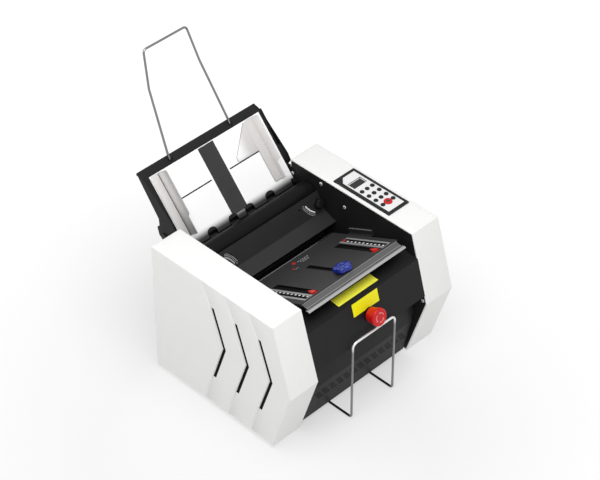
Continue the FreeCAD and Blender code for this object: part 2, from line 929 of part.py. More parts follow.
def front_panel():
    deck_back_z = bend_z + (deck_back_y - bend_y) * math.tan(math.radians(deck_slope_deg))
    line = [(recess_y, panel_low_z), (panel_low_y, panel_low_z), (bend_y, bend_z),
            (deck_back_y, deck_back_z)]
    sheet = prism_x(sheet_outline(line[::-1], panel_t), -frame_in_x, frame_in_x)
    hole = on_panel(cyl_z(estop_barrel_r, estop_x, 0, -overrun, overrun))
    export("front_panel", sheet.cut(hole))


def lower_front_panel():
    line = [(recess_y, chute_front_z - panel_t), (recess_y, band_top_z), (band_low_y, band_low_z),
            (base_front_y, band_low_z)]
    sheet = prism_x(sheet_outline(line, panel_t), -low_panel_x, low_panel_x)
    slots = []
    length = math.hypot(band_low_y - recess_y, band_top_z - band_low_z)
    for row in range(band_vent_rows):
        down = (1 - band_vent_first_share) * length + row * band_vent_pitch_z
        share = down / length
        y = recess_y + share * (band_low_y - recess_y)
        z = band_top_z + share * (band_low_z - band_top_z)
        for col in range(band_vent_cols):
            x = (col - (band_vent_cols - 1) / 2 + row / band_vent_rows) * band_vent_pitch_x
            if abs(x) + band_vent_l < low_panel_x:
                slots.append(box(x - band_vent_l / 2, x + band_vent_l / 2, y - overrun, y + overrun,
                                 z - band_vent_h / 2, z + band_vent_h / 2))
    tabs = []
    for side in (-1, 1):
        for z in (band_top_z + band_tab_w, chute_front_z - 2 * band_tab_w):
            tabs.append(box(side * (low_panel_x - tab_t), side * frame_in_x, recess_y + panel_t,
                            recess_y + panel_t + tab_t, z, z + band_tab_w))
    export("lower_front_panel", fuse([sheet.cut(slots)] + tabs))


def estop():
    collar = cyl_z(estop_collar_r, estop_x, 0, 0, estop_collar_h)
    barrel = cyl_z(estop_barrel_r, estop_x, 0, -estop_barrel_h, 0)
    half = estop_block_w / 2
    block = box(estop_x - half, estop_x + half, -half, half, -estop_barrel_h - estop_block_h,
                -estop_barrel_h)
    nut = cyl_z(estop_collar_r, estop_x, 0, -panel_t - estop_nut_h, -panel_t)
    depth = estop_collar_h + estop_barrel_h
    bore = cyl_z(estop_stem_r + fit_gap, estop_x, 0, estop_collar_h - depth, estop_collar_h)
    export("estop_base", on_panel(fuse([collar, barrel, nut, block]).cut(bore)))
    skirt = Part.makeCone(estop_skirt_r, estop_head_r, estop_head_h - 2 * estop_crown_h,
                          V(estop_x, 0, estop_stand), V(0, 0, 1))
    rim_z = estop_stand + estop_head_h - 2 * estop_crown_h
    rim = cyl_z(estop_head_r, estop_x, 0, rim_z, rim_z + estop_crown_h)
    crown = Part.makeCone(estop_head_r, estop_head_r - estop_crown_h, estop_crown_h,
                          V(estop_x, 0, rim_z + estop_crown_h), V(0, 0, 1))
    stem_low = estop_collar_h - depth + estop_travel + running_gap
    stem = cyl_z(estop_stem_r, estop_x, 0, stem_low, estop_stand)
    export("estop_button", on_panel(fuse([skirt, rim, crown, stem])))


pad_top_z = cover_top_z + pad_top
pad_low_z = pad_top_z - pad_t
board_top_z = cover_top_z - board_drop


def key_place(row, col):
    return (key_mid_x + (col - (key_cols - 1) / 2) * key_col_pitch, key_front_y + row * key_row_pitch)


def key_shape(x, y, radius, rise):
    lip_top = pad_low_z - running_gap
    cap = cyl_z(radius, x, y, lip_top, pad_top_z + rise)
    cap = round_edges(cap, rise / 3, edges_at_z(pad_top_z + rise))
    lip = cyl_z(radius + key_lip, x, y, lip_top - key_lip_t, lip_top)
    stem_low = board_top_z + key_travel + key_board_gap
    stem = cyl_z(radius / 2, x, y, stem_low, lip_top)
    return fuse([cap, lip, stem])


def keypad():
    ring = slab([(bezel_x0, bezel_y0), (bezel_x1, bezel_y0), (bezel_x1, bezel_y1), (bezel_x0, bezel_y1)],
                cover_top_z, cover_top_z + bezel_h)
    ring = round_edges(ring, bezel_r, lambda e: e.BoundBox.ZLength > bezel_h / 2)
    hole = slab(pad_outline(0, pad_chamfer), cover_top_z - overrun, cover_top_z + overrun)
    export("keypad_bezel", ring.cut(hole))
    panel = slab(pad_outline(0, pad_chamfer), pad_low_z, pad_top_z)
    display = box(display_x0, display_x1, display_y0, display_y1, pad_top_z - display_t,
                  pad_top_z + display_lift)
    cuts = [display]
    keys = []
    number = 0
    for row in range(key_rows):
        for col in range(key_cols):
            x, y = key_place(row, col)
            is_stop = row == 0 and col == 1
            radius = stop_key_r if is_stop else key_r
            rise = stop_key_rise if is_stop else key_rise
            cuts.append(cyl_z(radius + key_clear, x, y, pad_low_z - overrun, pad_top_z + overrun))
            if not is_stop:
                number += 1
            keys.append(("stop_key" if is_stop else "key_%d" % number, key_shape(x, y, radius, rise)))
    outline = pad_outline(-post_inset, pad_chamfer)
    posts = [cyl_z(post_r, x, y, board_top_z, pad_low_z + pad_t / 2) for x, y in outline]
    export("keypad_panel", fuse([panel.cut(cuts)] + posts))
    export("display_window", display)
    for node, key in keys:
        export(node, key)
    board = slab(pad_outline(0, pad_chamfer), board_top_z - board_t, board_top_z)
    chip = box(display_x0, display_x1, display_y0, display_y1, board_top_z - 2 * board_t,
               board_top_z - board_t)
    export("control_board", fuse([board, chip]))


def tray_slots(thick):
    slots = []
    for x0, x1 in ((-tray_slot_x1, -tray_slot_x0), (tray_slot_x0, tray_slot_x1)):
        slots.append(box(x0, x1, tray_slot_u - tray_slot_w / 2, tray_slot_u + tray_slot_w / 2,
                         -thick, overrun))
    return slots


support_low = V(support_hole_x, support_hole_y, support_hole_z)
support_axis = V(0, support_kink_y - support_hole_y, support_kink_z - support_hole_z).normalize()
wall_in_x = frame_out_x + tray_wall_gap
wall_out_x = wall_in_x + tray_wall_t


def slide_channels(depth):
    """Troughs behind the slots, in which the side guides' shoes run."""
    solids = []
    half = channel_w / 2
    floor_n = -depth - channel_depth
    for side in (-1, 1):
        x0, x1 = side * (tray_slot_x0 - channel_over), side * (tray_slot_x1 + channel_over)
        solids.append(box(x0, x1, tray_slot_u - half - channel_t, tray_slot_u + half + channel_t,
                          floor_n - channel_t, floor_n))
        for u in (tray_slot_u - half - channel_t, tray_slot_u + half):
            solids.append(box(x0, x1, u, u + channel_t, floor_n - channel_t, -depth))
    return solids


def tray_frame():
    depth = tray_plate_t + tray_back_t
    back = box(-tray_back_x, tray_back_x, tray_back_start, tray_back_end, -depth, -tray_plate_t)
    bridges = [box(side * (tray_back_x - tray_wall_t), side * wall_out_x, tray_bridge_start,
                   tray_back_end, -depth, -tray_plate_t) for side in (-1, 1)]
    pan = fuse([back] + bridges).cut(tray_slots(2 * depth))
    pan = on_tray(fuse([pan] + slide_channels(depth)))
    wall_line = [(tray_wall_top_y, tray_wall_top_z), (tray_wall_front_y, tray_wall_front_z),
                 (tray_wall_low_y, tray_wall_low_z),
                 (tray_pivot_y - tray_boss_r, tray_pivot_z), (tray_pivot_y + tray_boss_r, tray_pivot_z),
                 (tray_wall_waist_y, tray_wall_waist_z), (tray_wall_rear_y, tray_wall_rear_z)]
    right = prism_x(wall_line, wall_in_x, wall_out_x)
    boss = cyl_x(tray_boss_r, wall_in_x, wall_out_x, tray_pivot_y, tray_pivot_z)
    hole = cyl_x(pivot_pin_r + fit_gap, wall_in_x - overrun, wall_out_x + overrun, tray_pivot_y,
                 tray_pivot_z)
    right = fuse([right, boss]).cut(hole)
    band_line = [(tray_wall_rear_y, tray_wall_rear_z - tray_rear_lip),
                 (tray_wall_rear_y, tray_wall_rear_z), (tray_top_front_y, tray_top_front_z)]
    band = prism_x(sheet_outline(band_line, tray_top_t), -wall_out_x, wall_out_x)
    sockets = []
    bores = []
    for x in (-support_hole_x, support_hole_x):
        top = V(x, support_hole_y, support_hole_z)
        start = top - support_axis * socket_len
        sockets.append(Part.makeCylinder(socket_r, socket_len, start, support_axis))
        bores.append(Part.makeCylinder(support_r + socket_gap, 3 * socket_len,
                                       top - support_axis * 2 * socket_len, support_axis))
        strut_top = on_tray(box(x - socket_r / 2, x + socket_r / 2, tray_back_end - socket_len,
                                tray_back_end - socket_len + socket_r, -depth - 2 * socket_r, -depth))
        sockets.append(strut_top)
    body = fuse([pan, right, mirrored(right), band] + sockets).cut(bores)
    export("tray_frame", body)
    pins = []
    for side in (-1, 1):
        pin = cyl_x(pivot_pin_r, side * (frame_in_x - fit_gap), side * (wall_out_x + fit_gap),
                    tray_pivot_y, tray_pivot_z)
        inner = cyl_x(pivot_head_r, side * (frame_in_x - pivot_head_t), side * frame_in_x,
                      tray_pivot_y, tray_pivot_z)
        outer = cyl_x(pivot_head_r, side * (wall_out_x + running_gap),
                      side * (wall_out_x + running_gap + pivot_head_t), tray_pivot_y, tray_pivot_z)
        link = cyl_x(pivot_pin_r, side * wall_out_x, side * (wall_out_x + pivot_head_t), tray_pivot_y,
                     tray_pivot_z)
        pins.append(fuse([pin, inner, outer, link]))
    export("tray_pivot_pins", group(pins))


def tray():
    tray_frame()
    plate = box(-tray_half_x, tray_half_x, 0, tray_len, -tray_plate_t, 0)
    pocket = box(-strip_half_x, strip_half_x, 0, tray_len - strip_top_gap, -strip_t, overrun)
    export("tray_plate", on_tray(plate.cut(tray_slots(2 * tray_plate_t) + [pocket])))
    strip = box(-strip_half_x, strip_half_x, 0, tray_len - strip_top_gap, -strip_t, 0)
    export("tray_centre_strip", on_tray(strip))


def guide_parts(wall_x, stud_x, high_n, low_n):
    """A guide's flange lies on the tray to the left of its upright wall."""
    low = guide_lift
    flange = box(wall_x - guide_flange_w, wall_x, guide_low_u, guide_top_u, low, low + guide_t)
    wall_line = [(guide_low_u, low), (guide_top_u, low), (guide_top_u, low + high_n),
                 (guide_step_u, low + high_n), (guide_step_u - guide_notch, low + low_n),
                 (guide_low_u, low + low_n)]
    wall = prism_x(wall_line, wall_x, wall_x + guide_t)
    shoe_top = -tray_plate_t - tray_back_t - running_gap
    stud = cyl_z(guide_stud_r, stud_x, tray_slot_u, shoe_top - guide_shoe_t / 2, low + guide_t / 2)
    shoe = cyl_z(guide_shoe_w / 2, stud_x, tray_slot_u, shoe_top - guide_shoe_t, shoe_top)
    return [flange, wall, stud, shoe]


def guides():
    left_stud = left_guide_x - guide_stud_in
    export("left_side_guide", on_tray(fuse(guide_parts(left_guide_x, left_stud, left_guide_h,
                                                      left_guide_low_h))))
    low = guide_lift
    lobe_line = [(lobe_in_x, tray_slot_u + tray_slot_w), (lobe_in_x, tray_slot_u + lobe_rise),
                 (lobe_top_x, lobe_top_u), (right_guide_x, lobe_top_u),
                 (right_guide_x, tray_slot_u + tray_slot_w)]
    lobe = slab(lobe_line, low, low + guide_t)
    right_stud = right_guide_x - guide_stud_in
    parts = guide_parts(right_guide_x, right_stud, right_guide_h, right_guide_low_h)
    export("right_side_guide", on_tray(fuse(parts + [lobe])))


def support_wire():
    side = [V(support_hole_x, support_hole_y, support_hole_z) - support_axis * support_tail,
            V(support_hole_x, support_hole_y, support_hole_z) + support_axis * support_foot_r,
            V(support_kink_x, support_kink_y, support_kink_z),
            V(support_top_x, support_top_y, support_top_z)]
    points = side + [V(-p.x, p.y, p.z) for p in reversed(side)]
    bends = [support_foot_r, support_foot_r * 2, support_bend_r]
    wire = wire_tube(points, bends + bends[::-1], support_r)
    export("sheet_support_wire", wire)


def shaft(y, z, left_x, right_x):
    return cyl_x(journal_r, left_x, right_x, y, z)


left_shaft_x = -(gear_x + gear_w + shaft_stub)


def pulley(radius, y, z, x_mid):
    half = pulley_w / 2
    rim = radius + pulley_rim
    side_w = (pulley_w - belt_w) / 2
    return [cyl_x(radius, x_mid - half, x_mid + half, y, z),
            cyl_x(rim, x_mid - half, x_mid - half + side_w, y, z),
            cyl_x(rim, x_mid + half - side_w, x_mid + half, y, z)]


track_drive = -(gear_x + gear_w + pulley_step / 2)
track_feed = track_drive - pulley_step
track_delivery = track_feed - pulley_step


def feeding():
    ends = frame_in_x - drum_end_gap
    right_end = frame_out_x + bush_flange_t + shaft_stub
    drum = fuse([cyl_x(drum_r, -ends, ends, drum_y, drum_z), shaft(drum_y, drum_z, -right_end, right_end)])
    export("feed_drum", drum)
    rings = []
    for x in (-tyre_out_x, -tyre_in_x, tyre_in_x, tyre_out_x):
        ring = cyl_x(tyre_r, x - tyre_w / 2, x + tyre_w / 2, feed_y, feed_z)
        rings.append(ring)
    core = cyl_x(feed_core_r, -ends, ends, feed_y, feed_z)
    axle = shaft(feed_y, feed_z, track_feed - pulley_w / 2, right_end)
    export("feed_roller", fuse([core, axle] + rings + pulley(pulley_r, feed_y, feed_z, track_feed)))
    rings = []
    for x in (-tyre_out_x, -tyre_in_x, tyre_in_x, tyre_out_x):
        rings.append(cyl_x(delivery_r, x - tyre_w / 2, x + tyre_w / 2, *delivery))
    core = cyl_x(feed_core_r, -ends, ends, *delivery)
    axle = shaft(*delivery, track_delivery - pulley_w / 2, right_end)
    export("delivery_roller", fuse([core, axle] + rings + pulley(pulley_r, *delivery, track_delivery)))


def gear(centre, tooth_deg):
    """Straight-sided teeth; tooth_deg is the direction of the middle of one tooth."""
    step = 360 / gear_teeth
    tip_r = pitch_r + gear_addendum_share * gear_module
    root_r = pitch_r - gear_dedendum_share * gear_module
    pitch_half = step / 4 - gear_backlash_deg
    outline = []
    for i in range(gear_teeth):
        middle = tooth_deg + i * step
        for radius, half in ((root_r, gear_root_share * step), (pitch_r, pitch_half),
                             (tip_r, gear_tip_share * step)):
            outline.append((radius, middle - half))
        for radius, half in ((tip_r, gear_tip_share * step), (pitch_r, pitch_half),
                             (root_r, gear_root_share * step)):
            outline.append((radius, middle + half))
    points = [polar(centre, radius, angle) for radius, angle in outline]
    return prism_x(points, -gear_x - gear_w, -gear_x)


def rollers():
    ends = frame_in_x - roller_end_gap
    right_end = frame_out_x + bush_flange_t + shaft_stub
    half_step = half_turn_deg / gear_teeth
    places = (("upper", upper_roller, upper_dir + half_turn_deg + half_step, left_shaft_x),
              ("main", main_roller, upper_dir, track_delivery - pulley_w / 2),
              ("lower", lower_roller, lower_dir + half_turn_deg + half_step, left_shaft_x))
    for name, centre, tooth_deg, left_x in places:
        barrel = cyl_x(roller_r, -ends, ends, *centre)
        axle = shaft(*centre, left_x, right_end)
        export(name + "_fold_roller", fuse([barrel, axle]))
        wheel = gear(centre, tooth_deg)
        if name == "main":
            tracks = []
            for track in (track_drive, track_feed, track_delivery):
                tracks += pulley(pulley_r, *centre, track)
            hub = cyl_x(pulley_r, track_delivery - pulley_w / 2, -gear_x - gear_w, *centre)
            wheel = fuse([wheel, hub] + tracks)
        bore = cyl_x(journal_r, -cover_out_x, -frame_out_x, *centre)
        export(name + "_roller_gear", wheel.cut(bore))


def bushes():
    rings = []
    for y, z in shaft_places():
        body = cyl_x(bush_r, frame_in_x, frame_out_x, y, z)
        flange = cyl_x(bush_flange_r, frame_out_x, frame_out_x + bush_flange_t, y, z)
        bore = cyl_x(journal_r + fit_gap, frame_in_x - overrun, frame_out_x + overrun, y, z)
        ring = fuse([body, flange]).cut(bore)
        rings += [ring, mirrored(ring)]
    export("roller_bushes", group(rings))


def belt(start, start_r, end, end_r, track):
    """An open belt round two pulleys: the band between two hulls of circles."""
    def hull(grow):
        a, b = start_r + grow, end_r + grow
        dy, dz = end[0] - start[0], end[1] - start[1]
        length = math.hypot(dy, dz)
        lean = math.degrees(math.acos((a - b) / length))
        heading = math.degrees(math.atan2(dz, dy))
        quad = [polar(start, a, heading + lean), polar(start, a, heading - lean),
                polar(end, b, heading - lean), polar(end, b, heading + lean)]
        x0, x1 = track - belt_w / 2, track + belt_w / 2
        return fuse([prism_x(quad, x0, x1), cyl_x(a, x0, x1, *start), cyl_x(b, x0, x1, *end)])
    return hull(running_gap + belt_t).cut(hull(running_gap))


def drive():
    body = cyl_x(motor_r, -frame_in_x, -frame_in_x + motor_len, motor_y, motor_z)
    body = round_edges(body, motor_boss_t / 2, edges_at_x(-frame_in_x + motor_len))
    boss = cyl_x(motor_boss_r, -frame_out_x, -frame_in_x, motor_y, motor_z)
    bore = cyl_x(journal_r + fit_gap, -frame_out_x - overrun, -frame_in_x + motor_boss_t, motor_y, motor_z)
    export("drive_motor", fuse([body, boss]).cut(bore))
    half = pulley_w / 2
    axle = cyl_x(journal_r, track_drive - half, -frame_in_x + motor_boss_t / 2, motor_y, motor_z)
    export("motor_pulley", fuse([axle] + pulley(motor_pulley_r, motor_y, motor_z, track_drive)))
    motor = (motor_y, motor_z)
    belts = [belt(main_roller, pulley_r, motor, motor_pulley_r, track_drive),
             belt(main_roller, pulley_r, (feed_y, feed_z), pulley_r, track_feed),
             belt(main_roller, pulley_r, delivery, pulley_r, track_delivery)]
    export("drive_belts", group(belts))


def chute():
    line = [(recess_y, chute_front_z), (chute_turn_y, chute_turn_z), (chute_back_y, chute_back_z),
            (chute_wall_y, chute_wall_z), (chute_mouth_y, chute_mouth_z)]
    floor = prism_x(sheet_outline(line[::-1], panel_t), -frame_in_x, frame_in_x)
    reach = delivery_r + delivery_slot_gap
    slots = []
    for x in (-tyre_out_x, -tyre_in_x, tyre_in_x, tyre_out_x):
        half = tyre_w / 2 + delivery_slot_gap
        slots.append(box(x - half, x + half, delivery_y - reach, delivery_y + reach,
                         chute_front_z - overrun, chute_turn_z + overrun))
    export("paper_chute", floor.cut(slots))


facet_dy = guide_plate_top_y - guide_plate_bend_y
facet_dz = guide_plate_top_z - guide_plate_bend_z
facet_deg = math.degrees(math.atan2(facet_dz, facet_dy))


def on_facet(shape, share):
    return tilt(shape, facet_deg, guide_plate_bend_y + share * facet_dy,
                guide_plate_bend_z + share * facet_dz)


def guide_plate():
    line = [(guide_plate_low_y, guide_plate_low_z), (guide_plate_bend_y, guide_plate_bend_z),
            (guide_plate_top_y, guide_plate_top_z)]
    sheet = prism_x(sheet_outline(line[::-1], panel_t), -frame_in_x, frame_in_x)
    holes = [on_facet(cyl_z(guide_hole_r, x, 0, -overrun, overrun), guide_hole_share)
             for x in (-guide_hole_x, guide_hole_x)]
    holes.append(on_facet(cyl_z(skew_stem_r + fit_gap, skew_x, 0, -overrun, overrun), skew_share))
    export("upper_guide_plate", sheet.cut(holes))
    knob = cyl_z(skew_knob_r, skew_x, 0, running_gap + skew_hub_h, running_gap + skew_hub_h + skew_knob_h)
    knob = round_edges(knob, skew_hub_h / 2, lambda e: e.BoundBox.ZMin > skew_knob_h)
    hub = cyl_z(skew_hub_r, skew_x, 0, running_gap, running_gap + skew_hub_h)
    stem = cyl_z(skew_stem_r, skew_x, 0, -panel_t - running_gap - skew_nut_h, skew_hub_h)
    nut = cyl_z(skew_nut_r, skew_x, 0, -panel_t - running_gap - skew_nut_h, -panel_t - running_gap)
    export("skew_knob", on_facet(fuse([knob, hub, stem, nut]), skew_share))


fold_depth = 2 * fold_sheet_t + fold_gap


def fold_plate():
    upper = box(-fold_half_x, fold_half_x, -fold_len, 0, -fold_sheet_t, 0)
    lower = box(-fold_half_x, fold_half_x, -fold_len, 0, -fold_depth, -fold_sheet_t - fold_gap)
    sides = [box(side * (fold_half_x - fold_side_w), side * fold_half_x, -fold_len, 0, -fold_depth, 0)
             for side in (-1, 1)]
    half = fold_mid_slot_w / 2
    mid = box(fold_mid_slot_x - half, fold_mid_slot_x + half, -fold_mid_slot_front,
              -fold_mid_slot_back, -fold_sheet_t, overrun)
    cuts = [mid]
    for side in (-1, 1):
        cuts.append(box(side * fold_side_slot_x0, side * fold_side_slot_x1, -fold_side_slot_front,
                        -fold_side_slot_back, -fold_sheet_t, overrun))
    export("fold_plate", on_fold(fuse([upper.cut(cuts), lower] + sides)))
    rails = []
    for side in (-1, 1):
        ledge = box(side * (fold_half_x - rail_inset), side * frame_in_x, -rail_start - rail_len,
                    -rail_start, -fold_depth - rail_ledge_t, -fold_depth)
        leg = box(side * (frame_in_x - rail_leg_t), side * frame_in_x, -rail_start - rail_len,
                  -rail_start, -fold_depth - rail_ledge_t, rail_leg_h - fold_depth)
        rails.append(on_fold(fuse([ledge, leg])))
    export("fold_plate_rails", group(rails))


def fold_bar():
    front_n = -fold_depth
    top = (bar_top_y, bar_top_z)
    slope = math.atan2(bar_top_z - bar_lip_z, bar_top_y - bar_lip_y)
    length = math.hypot(bar_top_y - bar_lip_y, bar_top_z - bar_lip_z)
    profile = box(-bar_half_x, bar_half_x, -length, 0, -bar_h, 0)
    cuts = [box(-bar_half_x, bar_half_x, -start - width, -start, -deep, overrun)
            for start, width, deep in ((bar_flat_in, bar_flat_w, bar_flat_d),
                                       (bar_channel_in, bar_channel_w, bar_channel_d))]
    cuts.append(box(-bar_half_x, bar_half_x, -length - overrun, -length + bar_lip_w, -bar_h - overrun,
                    -bar_lip_t))
    bar = tilt(profile.cut(cuts), math.degrees(slope), *top)
    clear = on_fold(box(-fold_half_x, fold_half_x, -fold_len, 0, front_n, overrun))
    export("fold_plate_bar", bar.cut(clear))


def paper_stop():
    mid_n = -fold_sheet_t - fold_gap / 2
    half_t = stop_bar_t / 2
    bar = box(-stop_half_x, stop_half_x, -stop_s - stop_bar_w / 2, -stop_s + stop_bar_w / 2,
              mid_n - half_t, mid_n + half_t)
    boss_half = stop_boss_w / 2
    boss = box(fold_mid_slot_x - boss_half, fold_mid_slot_x + boss_half, -stop_s - stop_bar_w / 2,
               -stop_s + stop_boss_l / 2, mid_n, stop_rise)
    pointers = []
    slot_mid = (fold_side_slot_x0 + fold_side_slot_x1) / 2
    for side in (-1, 1):
        x = side * slot_mid
        stem = box(x - pointer_w / 2, x + pointer_w / 2, -stop_s - stop_bar_w / 2,
                   -stop_s + stop_bar_w / 2, mid_n, running_gap)
        tip = [(x - pointer_w / 2, -stop_s - stop_bar_w / 2), (x + pointer_w / 2, -stop_s - stop_bar_w / 2),
               (x + pointer_w / 2, -stop_s + stop_bar_w / 2), (x, -stop_s + pointer_l),
               (x - pointer_w / 2, -stop_s + stop_bar_w / 2)]
        pointers += [stem, slab(tip, running_gap, pointer_rise)]
    bore = cyl_z(knob_stem_r + fit_gap, fold_mid_slot_x, -stop_s, mid_n + half_t, overrun)
    export("paper_stop", on_fold(fuse([bar, boss] + pointers).cut(bore)))
    low = stop_rise + running_gap
    core = cyl_z(knob_r, fold_mid_slot_x, -stop_s, low, low + knob_h)
    lobes = []
    for i in range(knob_lobes):
        x, y = polar((fold_mid_slot_x, -stop_s), knob_r, 360 * i / knob_lobes)
        lobes.append(cyl_z(knob_lobe_r, x, y, low, low + knob_h))
    knob = fuse([core] + lobes)
    knob = round_edges(knob, knob_h / 5, lambda e: e.BoundBox.ZMin > low + knob_h / 2)
    stem = cyl_z(knob_stem_r, fold_mid_slot_x, -stop_s, stop_rise - knob_stem_h, low + knob_h / 2)
    export("stop_knob", on_fold(fuse([knob, stem])))


def catch_wire():
    side = [V(catch_x, catch_tail_y, catch_z), V(catch_x, catch_y, catch_z),
            V(catch_x, catch_y, catch_top_z)]
    points = side + [V(-p.x, p.y, p.z) for p in reversed(side)]
    bends = [catch_foot_bend_r, catch_bend_r]
    export("stacker_wire", wire_tube(points, bends + bends[::-1], catch_r))


def power():
    y1 = rear_panel_y + panel_t
    body = box(inlet_x - inlet_w / 2, inlet_x + inlet_w / 2, y1 - inlet_depth, y1,
               inlet_z - inlet_h / 2, inlet_z + inlet_h / 2)
    rim_x = inlet_w / 2 + inlet_flange
    rim_z = inlet_h / 2 + inlet_flange
    rim = box(inlet_x - rim_x, inlet_x + rim_x, y1, y1 + inlet_flange_t, inlet_z - rim_z,
              inlet_z + rim_z)
    face_y = y1 + inlet_flange_t
    well_x = inlet_x - inlet_w / 2 + inlet_flange / 2 + inlet_well_w / 2
    well = box(well_x - inlet_well_w / 2, well_x + inlet_well_w / 2, face_y - inlet_well_d, face_y,
               inlet_z - inlet_well_h / 2, inlet_z + inlet_well_h / 2)
    rocker_x = inlet_x + inlet_w / 2 - inlet_flange / 2 - rocker_w / 2
    slot = box(rocker_x - rocker_w / 2 - rocker_gap, rocker_x + rocker_w / 2 + rocker_gap,
               face_y - rocker_well_d, face_y, inlet_z - rocker_h / 2 - 2 * rocker_gap,
               inlet_z + rocker_h / 2 + 2 * rocker_gap)
    pins = []
    for x, z in ((well_x - inlet_pin_x, inlet_z - inlet_pin_z), (well_x, inlet_z + inlet_pin_z),
                 (well_x + inlet_pin_x, inlet_z - inlet_pin_z)):
        pins.append(cyl_y(inlet_pin_r, x, z, face_y - inlet_well_d, face_y - inlet_well_d + inlet_pin_l))
    pivot_y = face_y - rocker_d / 2
    axle_reach = rocker_w / 2 + rocker_gap
    axle_holes = cyl_x(inlet_pin_r + fit_gap, rocker_x - axle_reach - inlet_pin_r,
                       rocker_x + axle_reach + inlet_pin_r, pivot_y, inlet_z)
    housing = fuse([fuse([body, rim]).cut([well, slot])] + pins).cut(axle_holes)
    export("power_inlet", housing)
    half_d = rocker_d / 2
    tip_z = rocker_h / 2 - rocker_rise
    line = [(-half_d, -rocker_h / 3), (half_d - rocker_rise, -tip_z), (half_d + rocker_rise, -tip_z),
            (half_d, 0), (half_d + rocker_rise, tip_z), (half_d - rocker_rise, tip_z),
            (-half_d, rocker_h / 3)]
    body = prism_x(line, rocker_x - rocker_w / 2, rocker_x + rocker_w / 2)
    axle = cyl_x(inlet_pin_r, rocker_x - axle_reach - inlet_pin_r / 2,
                 rocker_x + axle_reach + inlet_pin_r / 2, 0, 0)
    export("power_rocker", tilt(fuse([body, axle]), rocker_rest_deg, pivot_y, inlet_z))


os.makedirs("parts", exist_ok=True)
covers()
frames()
base()
rear_panel()
front_panel()
lower_front_panel()
estop()
keypad()
tray()
guides()
support_wire()
feeding()
rollers()
bushes()
drive()
chute()
guide_plate()
fold_plate()
fold_bar()
paper_stop()
catch_wire()
power()
print("origin_y", origin_y, "height", support_top_z + support_r)
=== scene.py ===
from math import atan2, cos, degrees, hypot, pi, radians, sin

import bmesh
import bpy
from mathutils import Matrix, Vector
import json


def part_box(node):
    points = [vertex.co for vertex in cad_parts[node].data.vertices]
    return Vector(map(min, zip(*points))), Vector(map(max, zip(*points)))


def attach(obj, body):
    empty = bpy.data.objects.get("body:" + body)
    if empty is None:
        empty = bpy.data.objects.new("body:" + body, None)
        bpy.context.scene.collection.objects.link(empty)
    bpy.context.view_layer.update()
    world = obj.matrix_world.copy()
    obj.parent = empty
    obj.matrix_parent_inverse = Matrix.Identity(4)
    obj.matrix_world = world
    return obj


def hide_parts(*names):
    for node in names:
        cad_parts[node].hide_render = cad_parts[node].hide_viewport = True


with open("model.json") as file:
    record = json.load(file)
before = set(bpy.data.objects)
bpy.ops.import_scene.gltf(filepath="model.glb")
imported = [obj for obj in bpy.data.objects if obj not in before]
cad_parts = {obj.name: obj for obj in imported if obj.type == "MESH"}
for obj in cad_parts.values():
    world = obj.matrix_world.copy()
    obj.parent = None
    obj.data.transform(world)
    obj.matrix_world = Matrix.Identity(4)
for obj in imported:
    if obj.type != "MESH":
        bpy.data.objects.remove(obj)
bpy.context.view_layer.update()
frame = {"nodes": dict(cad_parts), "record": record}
nodes = frame["nodes"]
print("stage: frame loaded")

mm = 0.001
tiny = 1e-6
near = {"cut": 1e-4, "net": 1e-3, "rim": 1e-4, "side": 0.02, "face": 0.1, "wide": 1.0}   # allowances in millimetres
cover = {"backY": 187.0, "frontY": -169.5, "topZ": 341.0, "bottomZ": 11.0, "kneeY": -218.0, "kneeZ": 175.0,
         "toeY": -167.0, "outX": 243.0, "inX": 163.0, "wall": 3.0, "rimR": 2.5, "cornerR": 5.0, "lipR": 1.6,
         "skin": 5.6, "turn": 18, "gridY": -262.0, "gridStep": 9.0, "gridCount": 60, "rowStep": 7.0, "over": 3.0,
         "earLow": 261.6, "earHigh": 322.4, "earX": 167.4}
shiftY = cover["backY"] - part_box("left_cover")[1].y / mm   # a y in this file less the frame's y, in millimetres


def at(x, y, z):
    return Vector((x, y - shiftY, z)) * mm


def grey(value):
    return value, value, value


def addObject(name, data):
    made = bpy.data.objects.new(name, data)
    bpy.context.scene.collection.objects.link(made)
    return made


def addNode(tree, kind, settings=None, inputs=None):
    made = tree.nodes.new("ShaderNode" + kind)
    for key, value in (settings or {}).items():
        setattr(made, key, value)
    for key, value in (inputs or {}).items():
        if hasattr(value, "node"):
            tree.links.new(value, made.inputs[key])
        else:
            made.inputs[key].default_value = value
    return made


def fadeAlong(tree, coords, direction, start, end):
    dot = addNode(tree, "VectorMath", {"operation": "DOT_PRODUCT"}, {0: coords, 1: direction}).outputs["Value"]
    return addNode(tree, "MapRange", {"interpolation_type": "SMOOTHSTEP"},
                   {"Value": dot, "From Min": start, "From Max": end}).outputs[0]


grain = {"detail": 3.0, "mix": 0.55, "low": 0.3, "high": 0.7, "swing": 0.12, "coatRough": 0.12, "fineDetail": 2.0,
         "depth": 0.0004}


